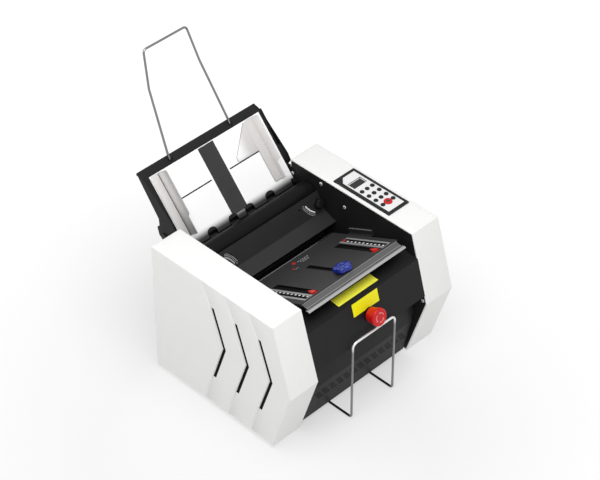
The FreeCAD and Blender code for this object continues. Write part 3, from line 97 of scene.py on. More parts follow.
def surface(name, color, rough, metal=0.0, tint=0.05, blotch=35.0, bump=0.0, fine=1400.0, coat=0.0,
            stretch=(1, 1, 1), specular=0.5, fades=()):
    mat = bpy.data.materials.new(name)
    mat.use_nodes = True
    tree = mat.node_tree
    tree.nodes.clear()
    coords = addNode(tree, "TexCoord").outputs["Object"]
    place = addNode(tree, "Mapping", inputs={"Vector": coords, "Scale": stretch}).outputs[0]
    broad = addNode(tree, "TexNoise", inputs={
        "Vector": place, "Scale": blotch, "Detail": grain["detail"], "Roughness": grain["mix"]}).outputs["Fac"]
    ramp = addNode(tree, "ValToRGB", inputs={"Fac": broad})
    for end, side, turn in zip(ramp.color_ramp.elements, ("low", "high"), (-1, 1)):
        end.position = grain[side]
        end.color = (*[min(1.0, c * (1 + turn * tint)) for c in color], 1)
    paint = ramp.outputs["Color"]
    for second, direction, start, end in fades:   # a second colour up to start, gone at end, in metres
        share = fadeAlong(tree, coords, direction, start, end)
        paint = addNode(tree, "Mix", {"data_type": "RGBA"}, {0: share, 6: (*second, 1), 7: paint}).outputs[2]
    swing = addNode(tree, "MapRange", inputs={
        "Value": broad, "To Min": rough * (1 - grain["swing"]),
        "To Max": rough * (1 + grain["swing"])}).outputs[0]
    shader = addNode(tree, "BsdfPrincipled", inputs={
        "Base Color": paint, "Roughness": swing, "Metallic": metal, "Coat Weight": coat,
        "Coat Roughness": grain["coatRough"], "Specular IOR Level": specular})
    if bump:
        small = addNode(tree, "TexNoise", inputs={
            "Vector": place, "Scale": fine, "Detail": grain["fineDetail"]}).outputs["Fac"]
        rise = addNode(tree, "Bump", inputs={
            "Height": small, "Strength": bump, "Distance": grain["depth"]}).outputs[0]
        tree.links.new(rise, shader.inputs["Normal"])
    addNode(tree, "OutputMaterial", inputs={"Surface": shader.outputs[0]})
    return mat


tray = {"deg": 49.0, "footY": 173.8, "footZ": 299.2, "shadeBelowEdge": 8.0, "shadeAboveEdge": 13.0}
trayTurn = radians(tray["deg"])
trayFoot = at(0, tray["footY"], tray["footZ"])
trayUp = (0.0, cos(trayTurn), sin(trayTurn))
trayOut = (0.0, -sin(trayTurn), cos(trayTurn))
trayLow = trayFoot.dot(Vector(trayUp))   # the tray's low edge, along its slope
trayFace = trayFoot.dot(Vector(trayOut))   # the tray's sheet, along its normal
# painted shade: the tray's white darkens to near black along its low edge, by the feed tyres and drum
trayPaintedShade = [(grey(0.012), trayUp, trayLow - tray["shadeBelowEdge"] * mm, trayLow + tray["shadeAboveEdge"] * mm)]
wall = {"right": 0.1652, "left": -0.1714, "soft": 0.0002}   # the tray frame darkens outside these, in metres
frameFades = [(grey(0.003), (-1, 0, 0), -wall["right"], wall["soft"] - wall["right"]),
              (grey(0.003), (1, 0, 0), wall["left"], wall["left"] + wall["soft"])]
looks = {
    "white_paint": surface("whitePaint", (0.84, 0.84, 0.83), 0.42, tint=0.008, bump=0.06, fine=1100.0),
    "black_paint": surface("blackPaint", (0.0115, 0.0115, 0.012), 0.5, tint=0.1, bump=0.12, fine=1500.0,
                           specular=0.14),
    "dark_grey_paint": surface("darkGreyPaint", (0.021, 0.021, 0.0215), 0.45, tint=0.07, bump=0.1, fine=1500.0,
                               specular=0.18),
    "white_panel_paint": surface("trayWhite", grey(0.95), 0.26, tint=0.006, coat=0.2, fades=trayPaintedShade),
    "zinc_steel": surface("zincSteel", (0.42, 0.43, 0.44), 0.35, metal=1.0, tint=0.12, bump=0.05),
    "bright_screw": surface("brightScrew", grey(0.8), 0.3, metal=0.3, tint=0.03),
    "chrome_wire": surface("chromeWire", (0.23, 0.23, 0.24), 0.2, metal=1.0, tint=0.04),
    "bar_aluminium": surface("barAluminium", grey(0.092), 0.45, metal=0.35, tint=0.05, bump=0.1,
                             stretch=(0.02, 1, 1)),
    "guide_plastic": surface("guidePlastic", (0.60, 0.585, 0.575), 0.3, tint=0.015),
    "black_plastic": surface("blackPlastic", (0.008, 0.008, 0.009), 0.4, tint=0.06, bump=0.06, specular=0.2),
    "label_white": surface("keypadWhite", grey(0.78), 0.3, tint=0.008),
    "display_dark": surface("displayDark", (0.014, 0.016, 0.015), 0.2, tint=0.05, coat=0.15, specular=0.2),
    "key_rubber": surface("keyRubber", (0.007, 0.007, 0.008), 0.45, tint=0.05, specular=0.2),
    "red_plastic": surface("redPlastic", (0.56, 0.008, 0.009), 0.36, tint=0.03, coat=0.05, specular=0.25),
    "red_pointer": surface("redPointer", (0.60, 0.014, 0.010), 0.35, tint=0.03, coat=0.1),
    "blue_plastic": surface("bluePlastic", (0.004, 0.020, 0.23), 0.18, tint=0.08, coat=0.4, specular=0.2),
    "drum_black": surface("drumBlack", (0.0060, 0.0060, 0.0065), 0.36, tint=0.05, bump=0.08, fine=1800.0,
                          specular=0.08),
    "roller_rubber": surface("rollerRubber", grey(0.008), 0.5, tint=0.08, bump=0.2, specular=0.2),
    "belt_rubber": surface("beltRubber", grey(0.012), 0.65, tint=0.1, bump=0.15),
    "foot_rubber": surface("footRubber", grey(0.012), 0.7, tint=0.1, bump=0.15),
    "gear_plastic": surface("gearPlastic", (0.70, 0.67, 0.58), 0.4, tint=0.03),
    "bush_bronze": surface("bushBronze", (0.56, 0.36, 0.16), 0.35, metal=1.0, tint=0.08),
    "motor_paint": surface("motorPaint", (0.05, 0.05, 0.055), 0.45, tint=0.08, bump=0.1),
    "board_green": surface("boardGreen", (0.015, 0.16, 0.045), 0.3, tint=0.08, coat=0.4),
}
nodeLooks = {
    "paper_chute": looks["dark_grey_paint"],
    "tray_frame": surface("trayFrameGrey", (0.014, 0.014, 0.0145), 0.5, tint=0.06, bump=0.1, fine=1500.0,
                          specular=0.12, fades=frameFades),
    # painted highlight: the catch wire is light above about 0.2 m, on its top bar, and wire grey below; painted
    # shade: near black in its lowest 9 mm by the floor
    "stacker_wire": surface("catchWireHighlightAndShade", grey(0.78), 0.3, metal=0.6, tint=0.03, fades=[
        ((0.24, 0.24, 0.25), (0, 0, 1), 0.185, 0.202), (grey(0.012), (0, 0, 1), 0.0065, 0.009)]),
    "tray_centre_strip": surface("stripGrey", (0.034, 0.034, 0.0345), 0.5, tint=0.06, bump=0.1, fine=1500.0,
                                 specular=0.2),
    "fold_plate": surface("foldPlateGrey", (0.031, 0.031, 0.0315), 0.45, tint=0.06, bump=0.1, fine=1500.0,
                          specular=0.2),
}
labelYellow = surface("labelYellow", (0.88, 0.84, 0.006), 0.45, tint=0.012, specular=0.2)
labelDull = surface("labelDull", (0.98, 0.94, 0.07), 0.5, tint=0.05, blotch=260.0, specular=0.2)
printGrey = surface("printGrey", grey(0.40), 0.5, tint=0.1, blotch=300.0)
printWhite = surface("printWhite", grey(0.80), 0.45, tint=0.05, blotch=300.0)
coverWhite = surface("coverWhite", (0.84, 0.84, 0.83), 0.42, tint=0.008, bump=0.06, fine=1100.0, specular=0.28)
rulerSilver = surface("rulerSilver", grey(0.36), 0.4, metal=0.3, tint=0.05, stretch=(1, 0.05, 0.05))
# near black for the ruler's print, and for painted shade in slots, gaps, recesses and under the bar
deepBlack = surface("deepBlack", grey(0.003), 0.8, tint=0.1, specular=0.1)
# lit and shaded greys of the bar's aluminium: painted light and shade on its faces
barLitGrey = surface("barLitGrey", grey(0.24), 0.4, metal=0.35, tint=0.04, stretch=(0.02, 1, 1))
barHalfLitGrey = surface("barHalfLitGrey", grey(0.14), 0.45, metal=0.3, tint=0.05, stretch=(0.02, 1, 1))
barHighlightGrey = surface("barHighlightGrey", grey(0.37), 0.32, metal=0.35, tint=0.04, stretch=(0.02, 1, 1))
# painted shade on the left guide's wall: darker towards the tray's low edge and towards the wall's top
guideWallPaintedShade = surface("guideWallPaintedShade", (0.78, 0.76, 0.75), 0.3, tint=0.015, fades=[
    ((0.50, 0.49, 0.49), trayUp, trayLow + 0.02, trayLow + 0.085),
    ((0.36, 0.355, 0.35), tuple(-c for c in trayOut), -trayFace - 0.040, -trayFace - 0.010)])
edgeBlack = surface("edgeBlack", (0.02, 0.018, 0.018), 0.6, tint=0.05)
# painted shade on the right guide's lobe: darker near its wall, lighter away from it
guideLobePaintedShade = surface("guideLobePaintedShade", (0.60, 0.585, 0.575), 0.3, tint=0.015, fades=[
    (grey(0.86), (1, 0, 0), 0.066, 0.098)])
guideWallRight = surface("guideWallRight", (0.88, 0.86, 0.85), 0.3, tint=0.015)
sheetEdge = surface("sheetEdge", (0.20, 0.19, 0.19), 0.4, tint=0.05)
keyCentre = surface("keyCentre", (0.06, 0.004, 0.008), 0.4, tint=0.05)
redPrint = surface("redPrint", (0.80, 0.20, 0.22), 0.4, tint=0.03)
# the apron's white carries the same painted shade along the tray's low edge
apronPaintedShade = surface("apronPaintedShade", grey(0.95), 0.4, tint=0.006, fades=trayPaintedShade)

slotOf = {part["node"]: part["material_slot"] for part in frame["record"]["subparts"]}
for name, obj in nodes.items():
    obj.data.materials.clear()
    obj.data.materials.append(nodeLooks.get(name, looks[slotOf[name]]))
print("stage: surfaces made")


edgeDeg = {"bevel": 28, "smooth": 32}


def finishPiece(name, mesh, materials, body, smooth=True, soften=0.0, segments=3, replaced=()):
    if soften:   # a bevel in millimetres on every sharp edge
        sharp = [e for e in mesh.edges if e.is_manifold and e.calc_face_angle(0) > radians(edgeDeg["bevel"])]
        bmesh.ops.bevel(mesh, geom=sharp, offset=soften * mm, offset_type="OFFSET", affect="EDGES",
                        segments=segments, profile=0.5, material=-1, clamp_overlap=True)
    bmesh.ops.recalc_face_normals(mesh, faces=mesh.faces)
    for face in mesh.faces:
        face.smooth = smooth
    for edge in mesh.edges:
        edge.smooth = not edge.is_manifold or edge.calc_face_angle(0) < radians(edgeDeg["smooth"])
    data = bpy.data.meshes.new(name)
    mesh.to_mesh(data)
    mesh.free()
    for material in materials:
        data.materials.append(material)
    piece = addObject(name, data)
    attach(piece, body)
    if replaced:
        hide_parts(*replaced)
    return piece


world = Matrix.Identity(4)
turned = Matrix(((0, 0, 1, 0), (1, 0, 0, 0), (0, 1, 0, 0), (0, 0, 0, 1)))   # plane x, y, z run along Y, Z, X


def frameOf(tip, x, y, z):   # a plane tipped about X, in degrees
    return Matrix.Translation(at(x, y, z)) @ Matrix.Rotation(radians(tip), 4, "X")


def shiftOf(x, y, z):
    return Matrix.Translation(Vector((x, y, z)) * mm)


def addBox(mesh, matrix, x0, x1, y0, y1, z0, z1, material=0):
    size = Matrix.Diagonal(((x1 - x0) * mm, (y1 - y0) * mm, (z1 - z0) * mm, 1))
    made = bmesh.ops.create_cube(mesh, size=1.0,
                                 matrix=matrix @ shiftOf((x0 + x1) / 2, (y0 + y1) / 2, (z0 + z1) / 2) @ size)
    for face in {f for v in made["verts"] for f in v.link_faces}:
        face.material_index = material


def addPrism(mesh, matrix, outline, low, high, material=0):
    ring = [mesh.verts.new(matrix @ (Vector((x, y, low)) * mm)) for x, y in outline]
    face = mesh.faces.new(ring)
    made = bmesh.ops.extrude_face_region(mesh, geom=[face])["geom"]
    lift = matrix.to_3x3() @ (Vector((0, 0, high - low)) * mm)
    bmesh.ops.translate(mesh, vec=lift, verts=[v for v in made if isinstance(v, bmesh.types.BMVert)])
    for side in {f for v in ring for f in v.link_faces} | {f for f in made if isinstance(f, bmesh.types.BMFace)}:
        side.material_index = material


def addLathe(mesh, matrix, profile, steps=64, lobes=0, lobeDepth=0.0, lobeSharp=1.0, material=0):
    rings = []   # profile holds radius and height from the axis out and back
    for radius, height in profile:
        ring = []
        for i in range(1 if radius == 0 else steps):
            angle = 2 * pi * i / steps
            wave = 0.5 + 0.5 * cos(lobes * angle)
            r = radius * (1 - lobeDepth * (1 - wave ** lobeSharp)) if lobes else radius
            ring.append(mesh.verts.new(matrix @ (Vector((r * cos(angle), r * sin(angle), height)) * mm)))
        rings.append(ring)
    for lower, upper in zip(rings, rings[1:]):
        for i in range(steps):
            quad = (lower[i % len(lower)], lower[(i + 1) % len(lower)], upper[(i + 1) % len(upper)],
                    upper[i % len(upper)])
            corners = [v for k, v in enumerate(quad) if v not in quad[:k]]
            if len(corners) > 2:
                mesh.faces.new(corners).material_index = material


def addArc(mesh, matrix, inner, outer, startDeg, endDeg, low, high, material=0, steps=24):
    turns = [radians(startDeg + (endDeg - startDeg) * i / steps) for i in range(steps + 1)]
    outline = [(outer * cos(t), outer * sin(t)) for t in turns]
    outline += [(inner * cos(t), inner * sin(t)) for t in reversed(turns)]
    for i in range(steps):
        addPrism(mesh, matrix, [outline[i], outline[i + 1], outline[-i - 2], outline[-i - 1]], low, high, material)


def addStrip(mesh, matrix, points, width, low, high, material=0):   # a flat line of even width along the points
    for (x0, y0), (x1, y1) in zip(points, points[1:]):
        length = hypot(x1 - x0, y1 - y0)
        nx, ny = -(y1 - y0) / length * width / 2, (x1 - x0) / length * width / 2
        addPrism(mesh, matrix, [(x0 + nx, y0 + ny), (x0 - nx, y0 - ny), (x1 - nx, y1 - ny), (x1 + nx, y1 + ny)],
                 low, high, material)


def cutOpening(mesh, chosen, planes):   # planes face out of the opening, which loses the chosen faces
    for spot, normal in planes:
        faces = [f for f in mesh.faces if chosen(f)]
        geom = faces + list({e for f in faces for e in f.edges}) + list({v for f in faces for v in f.verts})
        bmesh.ops.bisect_plane(mesh, geom=geom, dist=tiny, plane_co=spot, plane_no=normal)
    inside = [f for f in mesh.faces if chosen(f)
              and all((f.calc_center_median() - spot).dot(normal) < 0 for spot, normal in planes)]
    bmesh.ops.delete(mesh, geom=inside, context="FACES")


vent = {"first": 12.0, "pitch": 68.0, "count": 3, "width": 8.0, "rake": 32.5, "crease": 24.0, "top": 281.6,
        "mid": 186.0, "low": 88.0, "dip": 2.4, "run": 50.0, "edge": 1.4, "soft": 13.0, "lowSoft": 13.0 / 3,
        "fade": 0.7, "lowFade": 0.5, "deep": 4.4, "before": 52.0, "behind": 17.0, "shadeSheetIn": 0.9, "shadeSheetThick": 0.7,
        "shadeSheetOver": 0.4}
ventSpan = [14, 11, 8, 5.5, 3.5, 2.2, 1.4, 0.9, 0.45, 0, -vent["width"], -9, -12, -16, -21, -27, -34, -42, -50]
corners = [(cover["toeY"], cover["bottomZ"]), (cover["backY"], cover["bottomZ"]), (cover["backY"], cover["topZ"]),
           (cover["frontY"], cover["topZ"]), (cover["kneeY"], cover["kneeZ"])]
sides = []   # start and outward normal of each side of the outline
for a, b in zip(corners, corners[1:] + corners[:1]):
    run = (Vector(b) - Vector(a)).normalized()
    sides.append((Vector(a), Vector((run.y, -run.x))))
rearCentres = [(Vector((cover["backY"] - cover["cornerR"], z)), s)
               for z, s in ((cover["bottomZ"] + cover["cornerR"], -1), (cover["topZ"] - cover["cornerR"], 1))]


def creaseShift(z):   # how far a vent's bent line stands rearwards at a height
    bends = [(cover["bottomZ"], vent["crease"]), (vent["low"], 0.0), (vent["mid"], -vent["rake"]),
             (vent["top"], 0.0), (cover["topZ"], vent["crease"])]
    for (z0, y0), (z1, y1) in zip(bends, bends[1:]):
        if z <= z1:
            return y0 + (y1 - y0) * (z - z0) / (z1 - z0)
    return bends[-1][1]


def smoothStep(t):
    t = min(1.0, max(0.0, t))
    return t * t * (3 - 2 * t)


def ventDip(y, z):   # how deep the cover's face lies behind its flat plane
    away = min(1.0, max((z - vent["top"]) / (cover["topZ"] - vent["top"]),
                        (vent["low"] - z) / (vent["low"] - cover["bottomZ"]), 0.0))
    fade, soft = ("lowFade", "lowSoft") if z < vent["low"] else ("fade", "soft")
    edge = vent["edge"] + vent[soft] * away
    deepest = 0.0
    for i in range(vent["count"]):
        t = vent["first"] - i * vent["pitch"] + creaseShift(z) - y
        rise = smoothStep((t + edge) / edge) if t < 0 else 1.0
        fall = 1 - smoothStep((t - vent["width"]) / (vent["run"] - vent["width"]))
        deepest = max(deepest, rise * fall)
    return vent["dip"] * (1 - vent[fade] * away) * deepest


def rimPoint(p, inset):   # a point of the face's edge, moved out to another inset of the outline
    here = Vector(p)
    for centre, s in rearCentres:
        if here.x > centre.x and (here.y - centre.y) * s > 0:
            return centre + (here - centre).normalized() * (cover["cornerR"] - inset)
    beside = [(start, out) for start, out in sides if abs((start - here).dot(out) - cover["rimR"]) < near["side"]]
    if len(beside) == 1:
        return here + beside[0][1] * (cover["rimR"] - inset)
    (s0, n0), (s1, n1) = beside[:2]
    d0, d1 = s0.dot(n0) - inset, s1.dot(n1) - inset
    cross = n0.x * n1.y - n0.y * n1.x
    return Vector(((d0 * n1.y - d1 * n0.y) / cross, (n0.x * d1 - n1.x * d0) / cross))


pad = {"x0": 171.6, "x1": 233.9, "y0": -95.2, "y1": 66.6, "left": 8.0, "right": 6.0, "front": 8.0, "back": 6.8,
       "chamfer": 14.0, "fit": 0.5, "clear": 60.0, "level": 0.9}


def padOutline(grow):   # the keypad panel's outline, counterclockwise, less the given inset
    x0, x1 = pad["x0"] + pad["left"] + grow, pad["x1"] - pad["right"] - grow
    y0, y1 = pad["y0"] + pad["front"] + grow, pad["y1"] - pad["back"] - grow
    return [(x0, y0), (x1, y0), (x1, y1), (x0 + pad["chamfer"], y1), (x0, y1 - pad["chamfer"])]


def pullEdges(mesh, edges):   # new faces on the edges; gives their free vertices, still in place
    made = bmesh.ops.extrude_edge_only(mesh, edges=edges)["geom"]
    return [v for v in made if isinstance(v, bmesh.types.BMVert)]


def inSlot(y, over=0.0):   # y is measured from the bent line
    return any(-vent["width"] - over < y - vent["first"] + k * vent["pitch"] < over for k in range(vent["count"]))


def coverGrid():   # a net of faces that follows the bent lines, open at the slots
    mesh = bmesh.new()
    columns = [cover["gridY"] + i * cover["gridStep"] for i in range(cover["gridCount"])]
    for i in range(vent["count"]):
        first = vent["first"] - i * vent["pitch"]
        columns = [c for c in columns if not first - vent["before"] < c < first + vent["behind"]]
        columns += [first + s for s in ventSpan]
    columns = sorted(columns)
    marks = [cover["bottomZ"] - cover["over"], vent["low"], vent["mid"], vent["top"], cover["topZ"] + cover["over"]]
    rows = []
    for low, high in zip(marks, marks[1:]):
        count = round((high - low) / cover["rowStep"])
        rows += [low + (high - low) * i / count for i in range(count)]
    rows.append(marks[-1])
    grid = [[mesh.verts.new((0, c + creaseShift(min(max(z, cover["bottomZ"]), cover["topZ"])), z)) for c in columns]
            for z in rows]
    for i, (lower, upper) in enumerate(zip(grid, grid[1:])):
        atSlots = vent["low"] <= rows[i] and rows[i + 1] <= vent["top"] + tiny
        for j in range(len(columns) - 1):
            if not (atSlots and inSlot((columns[j] + columns[j + 1]) / 2)):
                mesh.faces.new((lower[j], lower[j + 1], upper[j + 1], upper[j]))
    return mesh


def trimGrid(mesh):   # cuts the net to the outline, less the rim's radius
    cuts = [(Vector((0, *(start - out * cover["rimR"]))), Vector((0, *out))) for start, out in sides]
    for centre, s in rearCentres:
        for k in range(90 // cover["turn"]):
            turn = radians(cover["turn"] * (k + 0.5))
            out = Vector((0, cos(turn), s * sin(turn)))
            cuts.append((Vector((0, *centre)) + out * (cover["cornerR"] - cover["rimR"]), out))
    for spot, out in cuts:
        geom = list(mesh.verts) + list(mesh.edges) + list(mesh.faces)
        bmesh.ops.bisect_plane(mesh, geom=geom, dist=near["cut"], plane_co=spot, plane_no=out, clear_outer=True)
    bmesh.ops.remove_doubles(mesh, verts=mesh.verts, dist=near["net"])


def rollRim(mesh, rimEdges):   # round the rim, down the wall, its rolled lip, and back inside to the face
    r, roll, steps = cover["rimR"], cover["lipR"], 90 // cover["turn"] + 1
    turns = [radians(cover["turn"] * k) for k in range(steps)]
    sections = [(r * (1 - sin(t)), cover["outX"] - r * (1 - cos(t))) for t in turns[1:]]   # inset and x
    sections += [(roll * (1 - cos(t)), cover["inX"] + roll * (1 - sin(t))) for t in turns]
    sections += [(cover["wall"], cover["inX"]), (cover["wall"], cover["outX"] - cover["skin"])]
    base = {v: Vector((v.co.y, v.co.z)) for e in rimEdges for v in e.verts}
    ringOf = {v: v for v in base}
    for inset, x in sections:
        fresh = {}
        for v, flat in base.items():
            spot = rimPoint(flat, inset)
            fresh[v] = mesh.verts.new((x, spot.x, spot.y))
        for e in rimEdges:
            a, b = e.verts
            mesh.faces.new((ringOf[a], ringOf[b], fresh[b], fresh[a]))
        ringOf = fresh
    start = rimEdges[0].verts[0]
    order, seen = [start], {start}
    while True:
        ahead = [e.other_vert(order[-1]) for e in rimEdges
                 if order[-1] in e.verts and e.other_vert(order[-1]) not in seen]
        if not ahead:
            break
        order.append(ahead[0])
        seen.add(ahead[0])
    mesh.faces.new([ringOf[v] for v in order])
    bmesh.ops.remove_doubles(mesh, verts=mesh.verts, dist=near["rim"])


def openPad(mesh):   # the opening in the top that holds the keypad panel
    outline = padOutline(-pad["fit"])
    planes = [(Vector((x0, y0, 0)), Vector((y1 - y0, x0 - x1, 0)).normalized())
              for (x0, y0), (x1, y1) in zip(outline, outline[1:] + outline[:1])]
    top = cover["topZ"] - near["face"]
    under = top - cover["wall"]
    mesh.normal_update()
    cutOpening(mesh, lambda f: min(v.co.z for v in f.verts) > under and abs(f.normal.z) > pad["level"], planes)
    mesh.normal_update()
    edges = [e for e in mesh.edges if e.is_boundary
             and all(v.co.z > top and v.co.y < cover["backY"] - pad["clear"] for v in e.verts)]
    for v in pullEdges(mesh, edges):
        v.co.z -= cover["wall"]


def coverMesh(side):
    mesh = coverGrid()
    trimGrid(mesh)
    low, top = vent["low"] - near["wide"], vent["top"] + near["wide"]
    slotEdges = [e for e in mesh.edges if e.is_boundary and all(
        low < v.co.z < top and inSlot(v.co.y - creaseShift(v.co.z), near["face"]) for v in e.verts)]
    rimEdges = [e for e in mesh.edges if e.is_boundary and e not in slotEdges]
    for v in mesh.verts:
        v.co.x = cover["outX"] - ventDip(v.co.y, v.co.z)
    for v in pullEdges(mesh, slotEdges):
        v.co.x = cover["outX"] - vent["deep"]
    rollRim(mesh, rimEdges)
    back, flat = cover["backY"] - cover["wall"] - near["face"], cover["outX"] - near["wide"]
    ear = [((0, 0, cover["earLow"]), (0, 0, -1)), ((0, 0, cover["earHigh"]), (0, 0, 1)),
           ((cover["earX"], 0, 0), (1, 0, 0))]   # where the side frame's ear comes through
    cutOpening(mesh, lambda f: min(v.co.y for v in f.verts) > back and max(v.co.x for v in f.verts) < flat,
               [(Vector(spot), Vector(normal)) for spot, normal in ear])
    if side > 0:
        openPad(mesh)
    for v in mesh.verts:
        v.co = at(side * v.co.x, v.co.y, v.co.z)
    return mesh


shade = {"low": 0.23, "mid": 0.03, "top": 0.09, "power": 2.6, "flatStart": 4.5, "flatEnd": 3.0, "lowEnd": 12.0,
         "highStart": 8.0, "highEnd": 12.0, "topStart": 14.0, "topKeep": 0.35, "tone": 0.12}


def creaseShade(material):   # soft shading in front of the vents' bent lines, on the flat outer faces
    tree = material.node_tree
    shader = next(n for n in tree.nodes if n.type == "BSDF_PRINCIPLED")
    plain = shader.inputs["Base Color"].links[0].from_socket
    coords = addNode(tree, "TexCoord").outputs["Object"]
    split = addNode(tree, "SeparateXYZ", inputs={0: coords})

    def spread(value, x0, x1, y0, y1):
        return addNode(tree, "MapRange", inputs={
            "Value": value, "From Min": x0, "From Max": x1, "To Min": y0, "To Max": y1}).outputs[0]

    def sums(kind, a, b):
        return addNode(tree, "Math", {"operation": kind}, {0: a, 1: b}).outputs[0]

    v, z = vent, split.outputs["Z"]
    shift = spread(z, cover["bottomZ"] * mm, v["low"] * mm, v["crease"], 0.0)
    for z0, z1, rise in ((v["low"], v["mid"], -v["rake"]), (v["mid"], v["top"], v["rake"]),
                         (v["top"], cover["topZ"], v["crease"])):
        shift = sums("ADD", shift, spread(z, z0 * mm, z1 * mm, 0.0, rise))
    ahead = sums("SUBTRACT", sums("ADD", shift, v["first"] - shiftY), sums("DIVIDE", split.outputs["Y"], mm))
    steps = sums("DIVIDE", ahead, v["pitch"])
    fall = sums("POWER", sums("SUBTRACT", 1.0, sums("FRACT", steps, 0.0)), shade["power"])
    inside = sums("MULTIPLY", sums("GREATER_THAN", steps, 0.0), sums("LESS_THAN", steps, float(v["count"])))
    flat = spread(sums("ABSOLUTE", split.outputs["X"], 0.0), (cover["outX"] - shade["flatStart"]) * mm,
                  (cover["outX"] - shade["flatEnd"]) * mm, 0.0, 1.0)
    low = spread(z, cover["bottomZ"] * mm, (v["low"] + shade["lowEnd"]) * mm, shade["low"], shade["mid"])
    high = spread(z, (v["top"] - shade["highStart"]) * mm, (v["top"] + shade["highEnd"]) * mm, 0.0, shade["top"])
    top = spread(z, (v["top"] + shade["topStart"]) * mm, cover["topZ"] * mm, 1.0, shade["topKeep"])
    depth = sums("ADD", low, sums("MULTIPLY", high, top))
    share = sums("MULTIPLY", sums("MULTIPLY", fall, inside), sums("MULTIPLY", depth, flat))
    dark = addNode(tree, "Mix", {"data_type": "RGBA"}, {0: share, 6: plain, 7: (*grey(shade["tone"]), 1)})
    tree.links.new(dark.outputs[2], shader.inputs["Base Color"])


creaseShade(coverWhite)
for side, label in ((-1, "left"), (1, "right")):
    mesh = coverMesh(side)
    finishPiece(label + "_cover_shell", mesh, [coverWhite], "base", replaced=(label + "_cover",))
    mesh = bmesh.new()   # a black sheet behind each slot, painted shade for the dark inside of the vent
    front, back = vent["shadeSheetOver"], -vent["width"] - vent["shadeSheetOver"]
    x = side * (cover["outX"] - vent["dip"] - vent["shadeSheetIn"])
    for i in range(vent["count"]):
        first = vent["first"] - i * vent["pitch"]
        for z0, z1 in ((vent["low"], vent["mid"]), (vent["mid"], vent["top"])):
            quad = [(first + creaseShift(z) + y - shiftY, z) for z, y in
                    ((z0, front), (z1, front), (z1, back), (z0, back))]
            addPrism(mesh, turned, quad, x, x - side * vent["shadeSheetThick"])
    finishPiece(label + "_vent_shade_sheets", mesh, [deepBlack], "base", smooth=False)
print("stage: covers made")

fold = {"deg": -26.1, "backY": 35.2, "backZ": 236.5, "length": 201.7, "halfX": 141.0}
foldPlane = frameOf(fold["deg"], 0, fold["backY"], fold["backZ"])
panel = {"bendY": -187.0, "bendZ": 283.8, "lowY": -211.8, "lowZ": 195.8, "deckDeg": 5.0}
panelDeg = degrees(atan2(panel["bendZ"] - panel["lowZ"], panel["bendY"] - panel["lowY"]))
panelPlane = frameOf(panelDeg, 0, panel["bendY"], panel["bendZ"])
deckPlane = frameOf(panel["deckDeg"], 0, panel["bendY"], panel["bendZ"])
facet = {"bendY": 82.5, "bendZ": 259.6, "topY": 105.6, "topZ": 300.3}
facetDeg = degrees(atan2(facet["topZ"] - facet["bendZ"], facet["topY"] - facet["bendY"]))
trayPlane = frameOf(tray["deg"], 0, tray["footY"], tray["footZ"])


def onFacet(x, share):
    return frameOf(facetDeg, x, facet["bendY"] + share * (facet["topY"] - facet["bendY"]),
                   facet["bendZ"] + share * (facet["topZ"] - facet["bendZ"]))


plates = {"thick": 0.25, "deck": (-60.2, 56.3, 12.6, 36.4), "panel": (-37.0, 38.4, -31.6, -1.4)}
for label, plane, material in (("deck", deckPlane, labelDull), ("panel", panelPlane, labelYellow)):
    mesh = bmesh.new()
    addBox(mesh, plane, *plates[label], 0, plates["thick"])
    finishPiece(label + "_label_plate", mesh, [material], "base", soften=0.1, segments=1)

slotShade = {"low": -4.49, "high": -4.42, "halfX": 132.0, "front": -198.0, "back": -58.0}
mesh = bmesh.new()   # a black sheet on the floor of the paper gap, seen through the slots as painted shade
addBox(mesh, foldPlane, -slotShade["halfX"], slotShade["halfX"], slotShade["front"], slotShade["back"], slotShade["low"], slotShade["high"])
finishPiece("fold_plate_slot_shade", mesh, [deepBlack], "base", smooth=False)

ruler = {"back": -60.0, "front": -197.0, "plate": (102.7, 126.5), "band": (108.0, 120.6), "dots": (109.6, 113.4),
         "thick": 0.8, "bandTop": 0.92, "dotTop": 1.0, "flagTop": 1.04, "inset": 1.0, "dotL": 5.6, "pitch": 12.4,
         "count": 10, "firstDot": 16.0, "flag": (109.0, 117.6, -69.0, -63.0)}
for side, label in ((-1, "left"), (1, "right")):
    mesh = bmesh.new()
    r = ruler
    plate, band, dots = [sorted(side * x for x in r[part]) for part in ("plate", "band", "dots")]
    addBox(mesh, foldPlane, *plate, r["front"], r["back"], 0, r["thick"])
    addBox(mesh, foldPlane, *band, r["front"] + r["inset"], r["back"] - r["inset"], r["thick"], r["bandTop"],
           material=1)
    for i in range(r["count"]):
        y = r["back"] - r["firstDot"] - i * r["pitch"]
        addBox(mesh, foldPlane, *dots, y - r["dotL"], y, r["bandTop"], r["dotTop"], material=2)
    if side > 0:
        addBox(mesh, foldPlane, *r["flag"], r["bandTop"], r["flagTop"], material=3)
    finishPiece("fold_scale_" + label, mesh, [rulerSilver, deepBlack, printWhite, looks["red_pointer"]], "base",
                smooth=False)

lip = {"halfX": 140.0, "s0": 2.6, "s1": 9.5, "s2": 10.6, "n0": -3.2, "n1": -2.2, "n2": -1.9}
mesh = bmesh.new()   # lower sheet's dark rear edge behind the bright rod
addBox(mesh, foldPlane, -lip["halfX"], lip["halfX"], lip["s0"], lip["s1"], lip["n0"], lip["n1"])
addBox(mesh, foldPlane, -lip["halfX"], lip["halfX"], lip["s1"], lip["s2"], lip["n0"], lip["n2"], material=1)
finishPiece("fold_plate_rear_lip", mesh, [looks["black_paint"], looks["zinc_steel"]], "base",
            smooth=False)

rod = {"r": 1.0, "n": 0.6, "s": 0.2, "short": 0.5, "steps": 24}
mesh = bmesh.new()
bmesh.ops.create_cone(mesh, segments=rod["steps"], radius1=rod["r"] * mm, radius2=rod["r"] * mm,
                      depth=2 * (fold["halfX"] - rod["short"]) * mm, cap_ends=True,
                      matrix=foldPlane @ shiftOf(0, rod["s"], rod["n"]) @ Matrix.Rotation(pi / 2, 4, "Y"))
finishPiece("fold_plate_edge_rod", mesh, [looks["chrome_wire"]], "base")

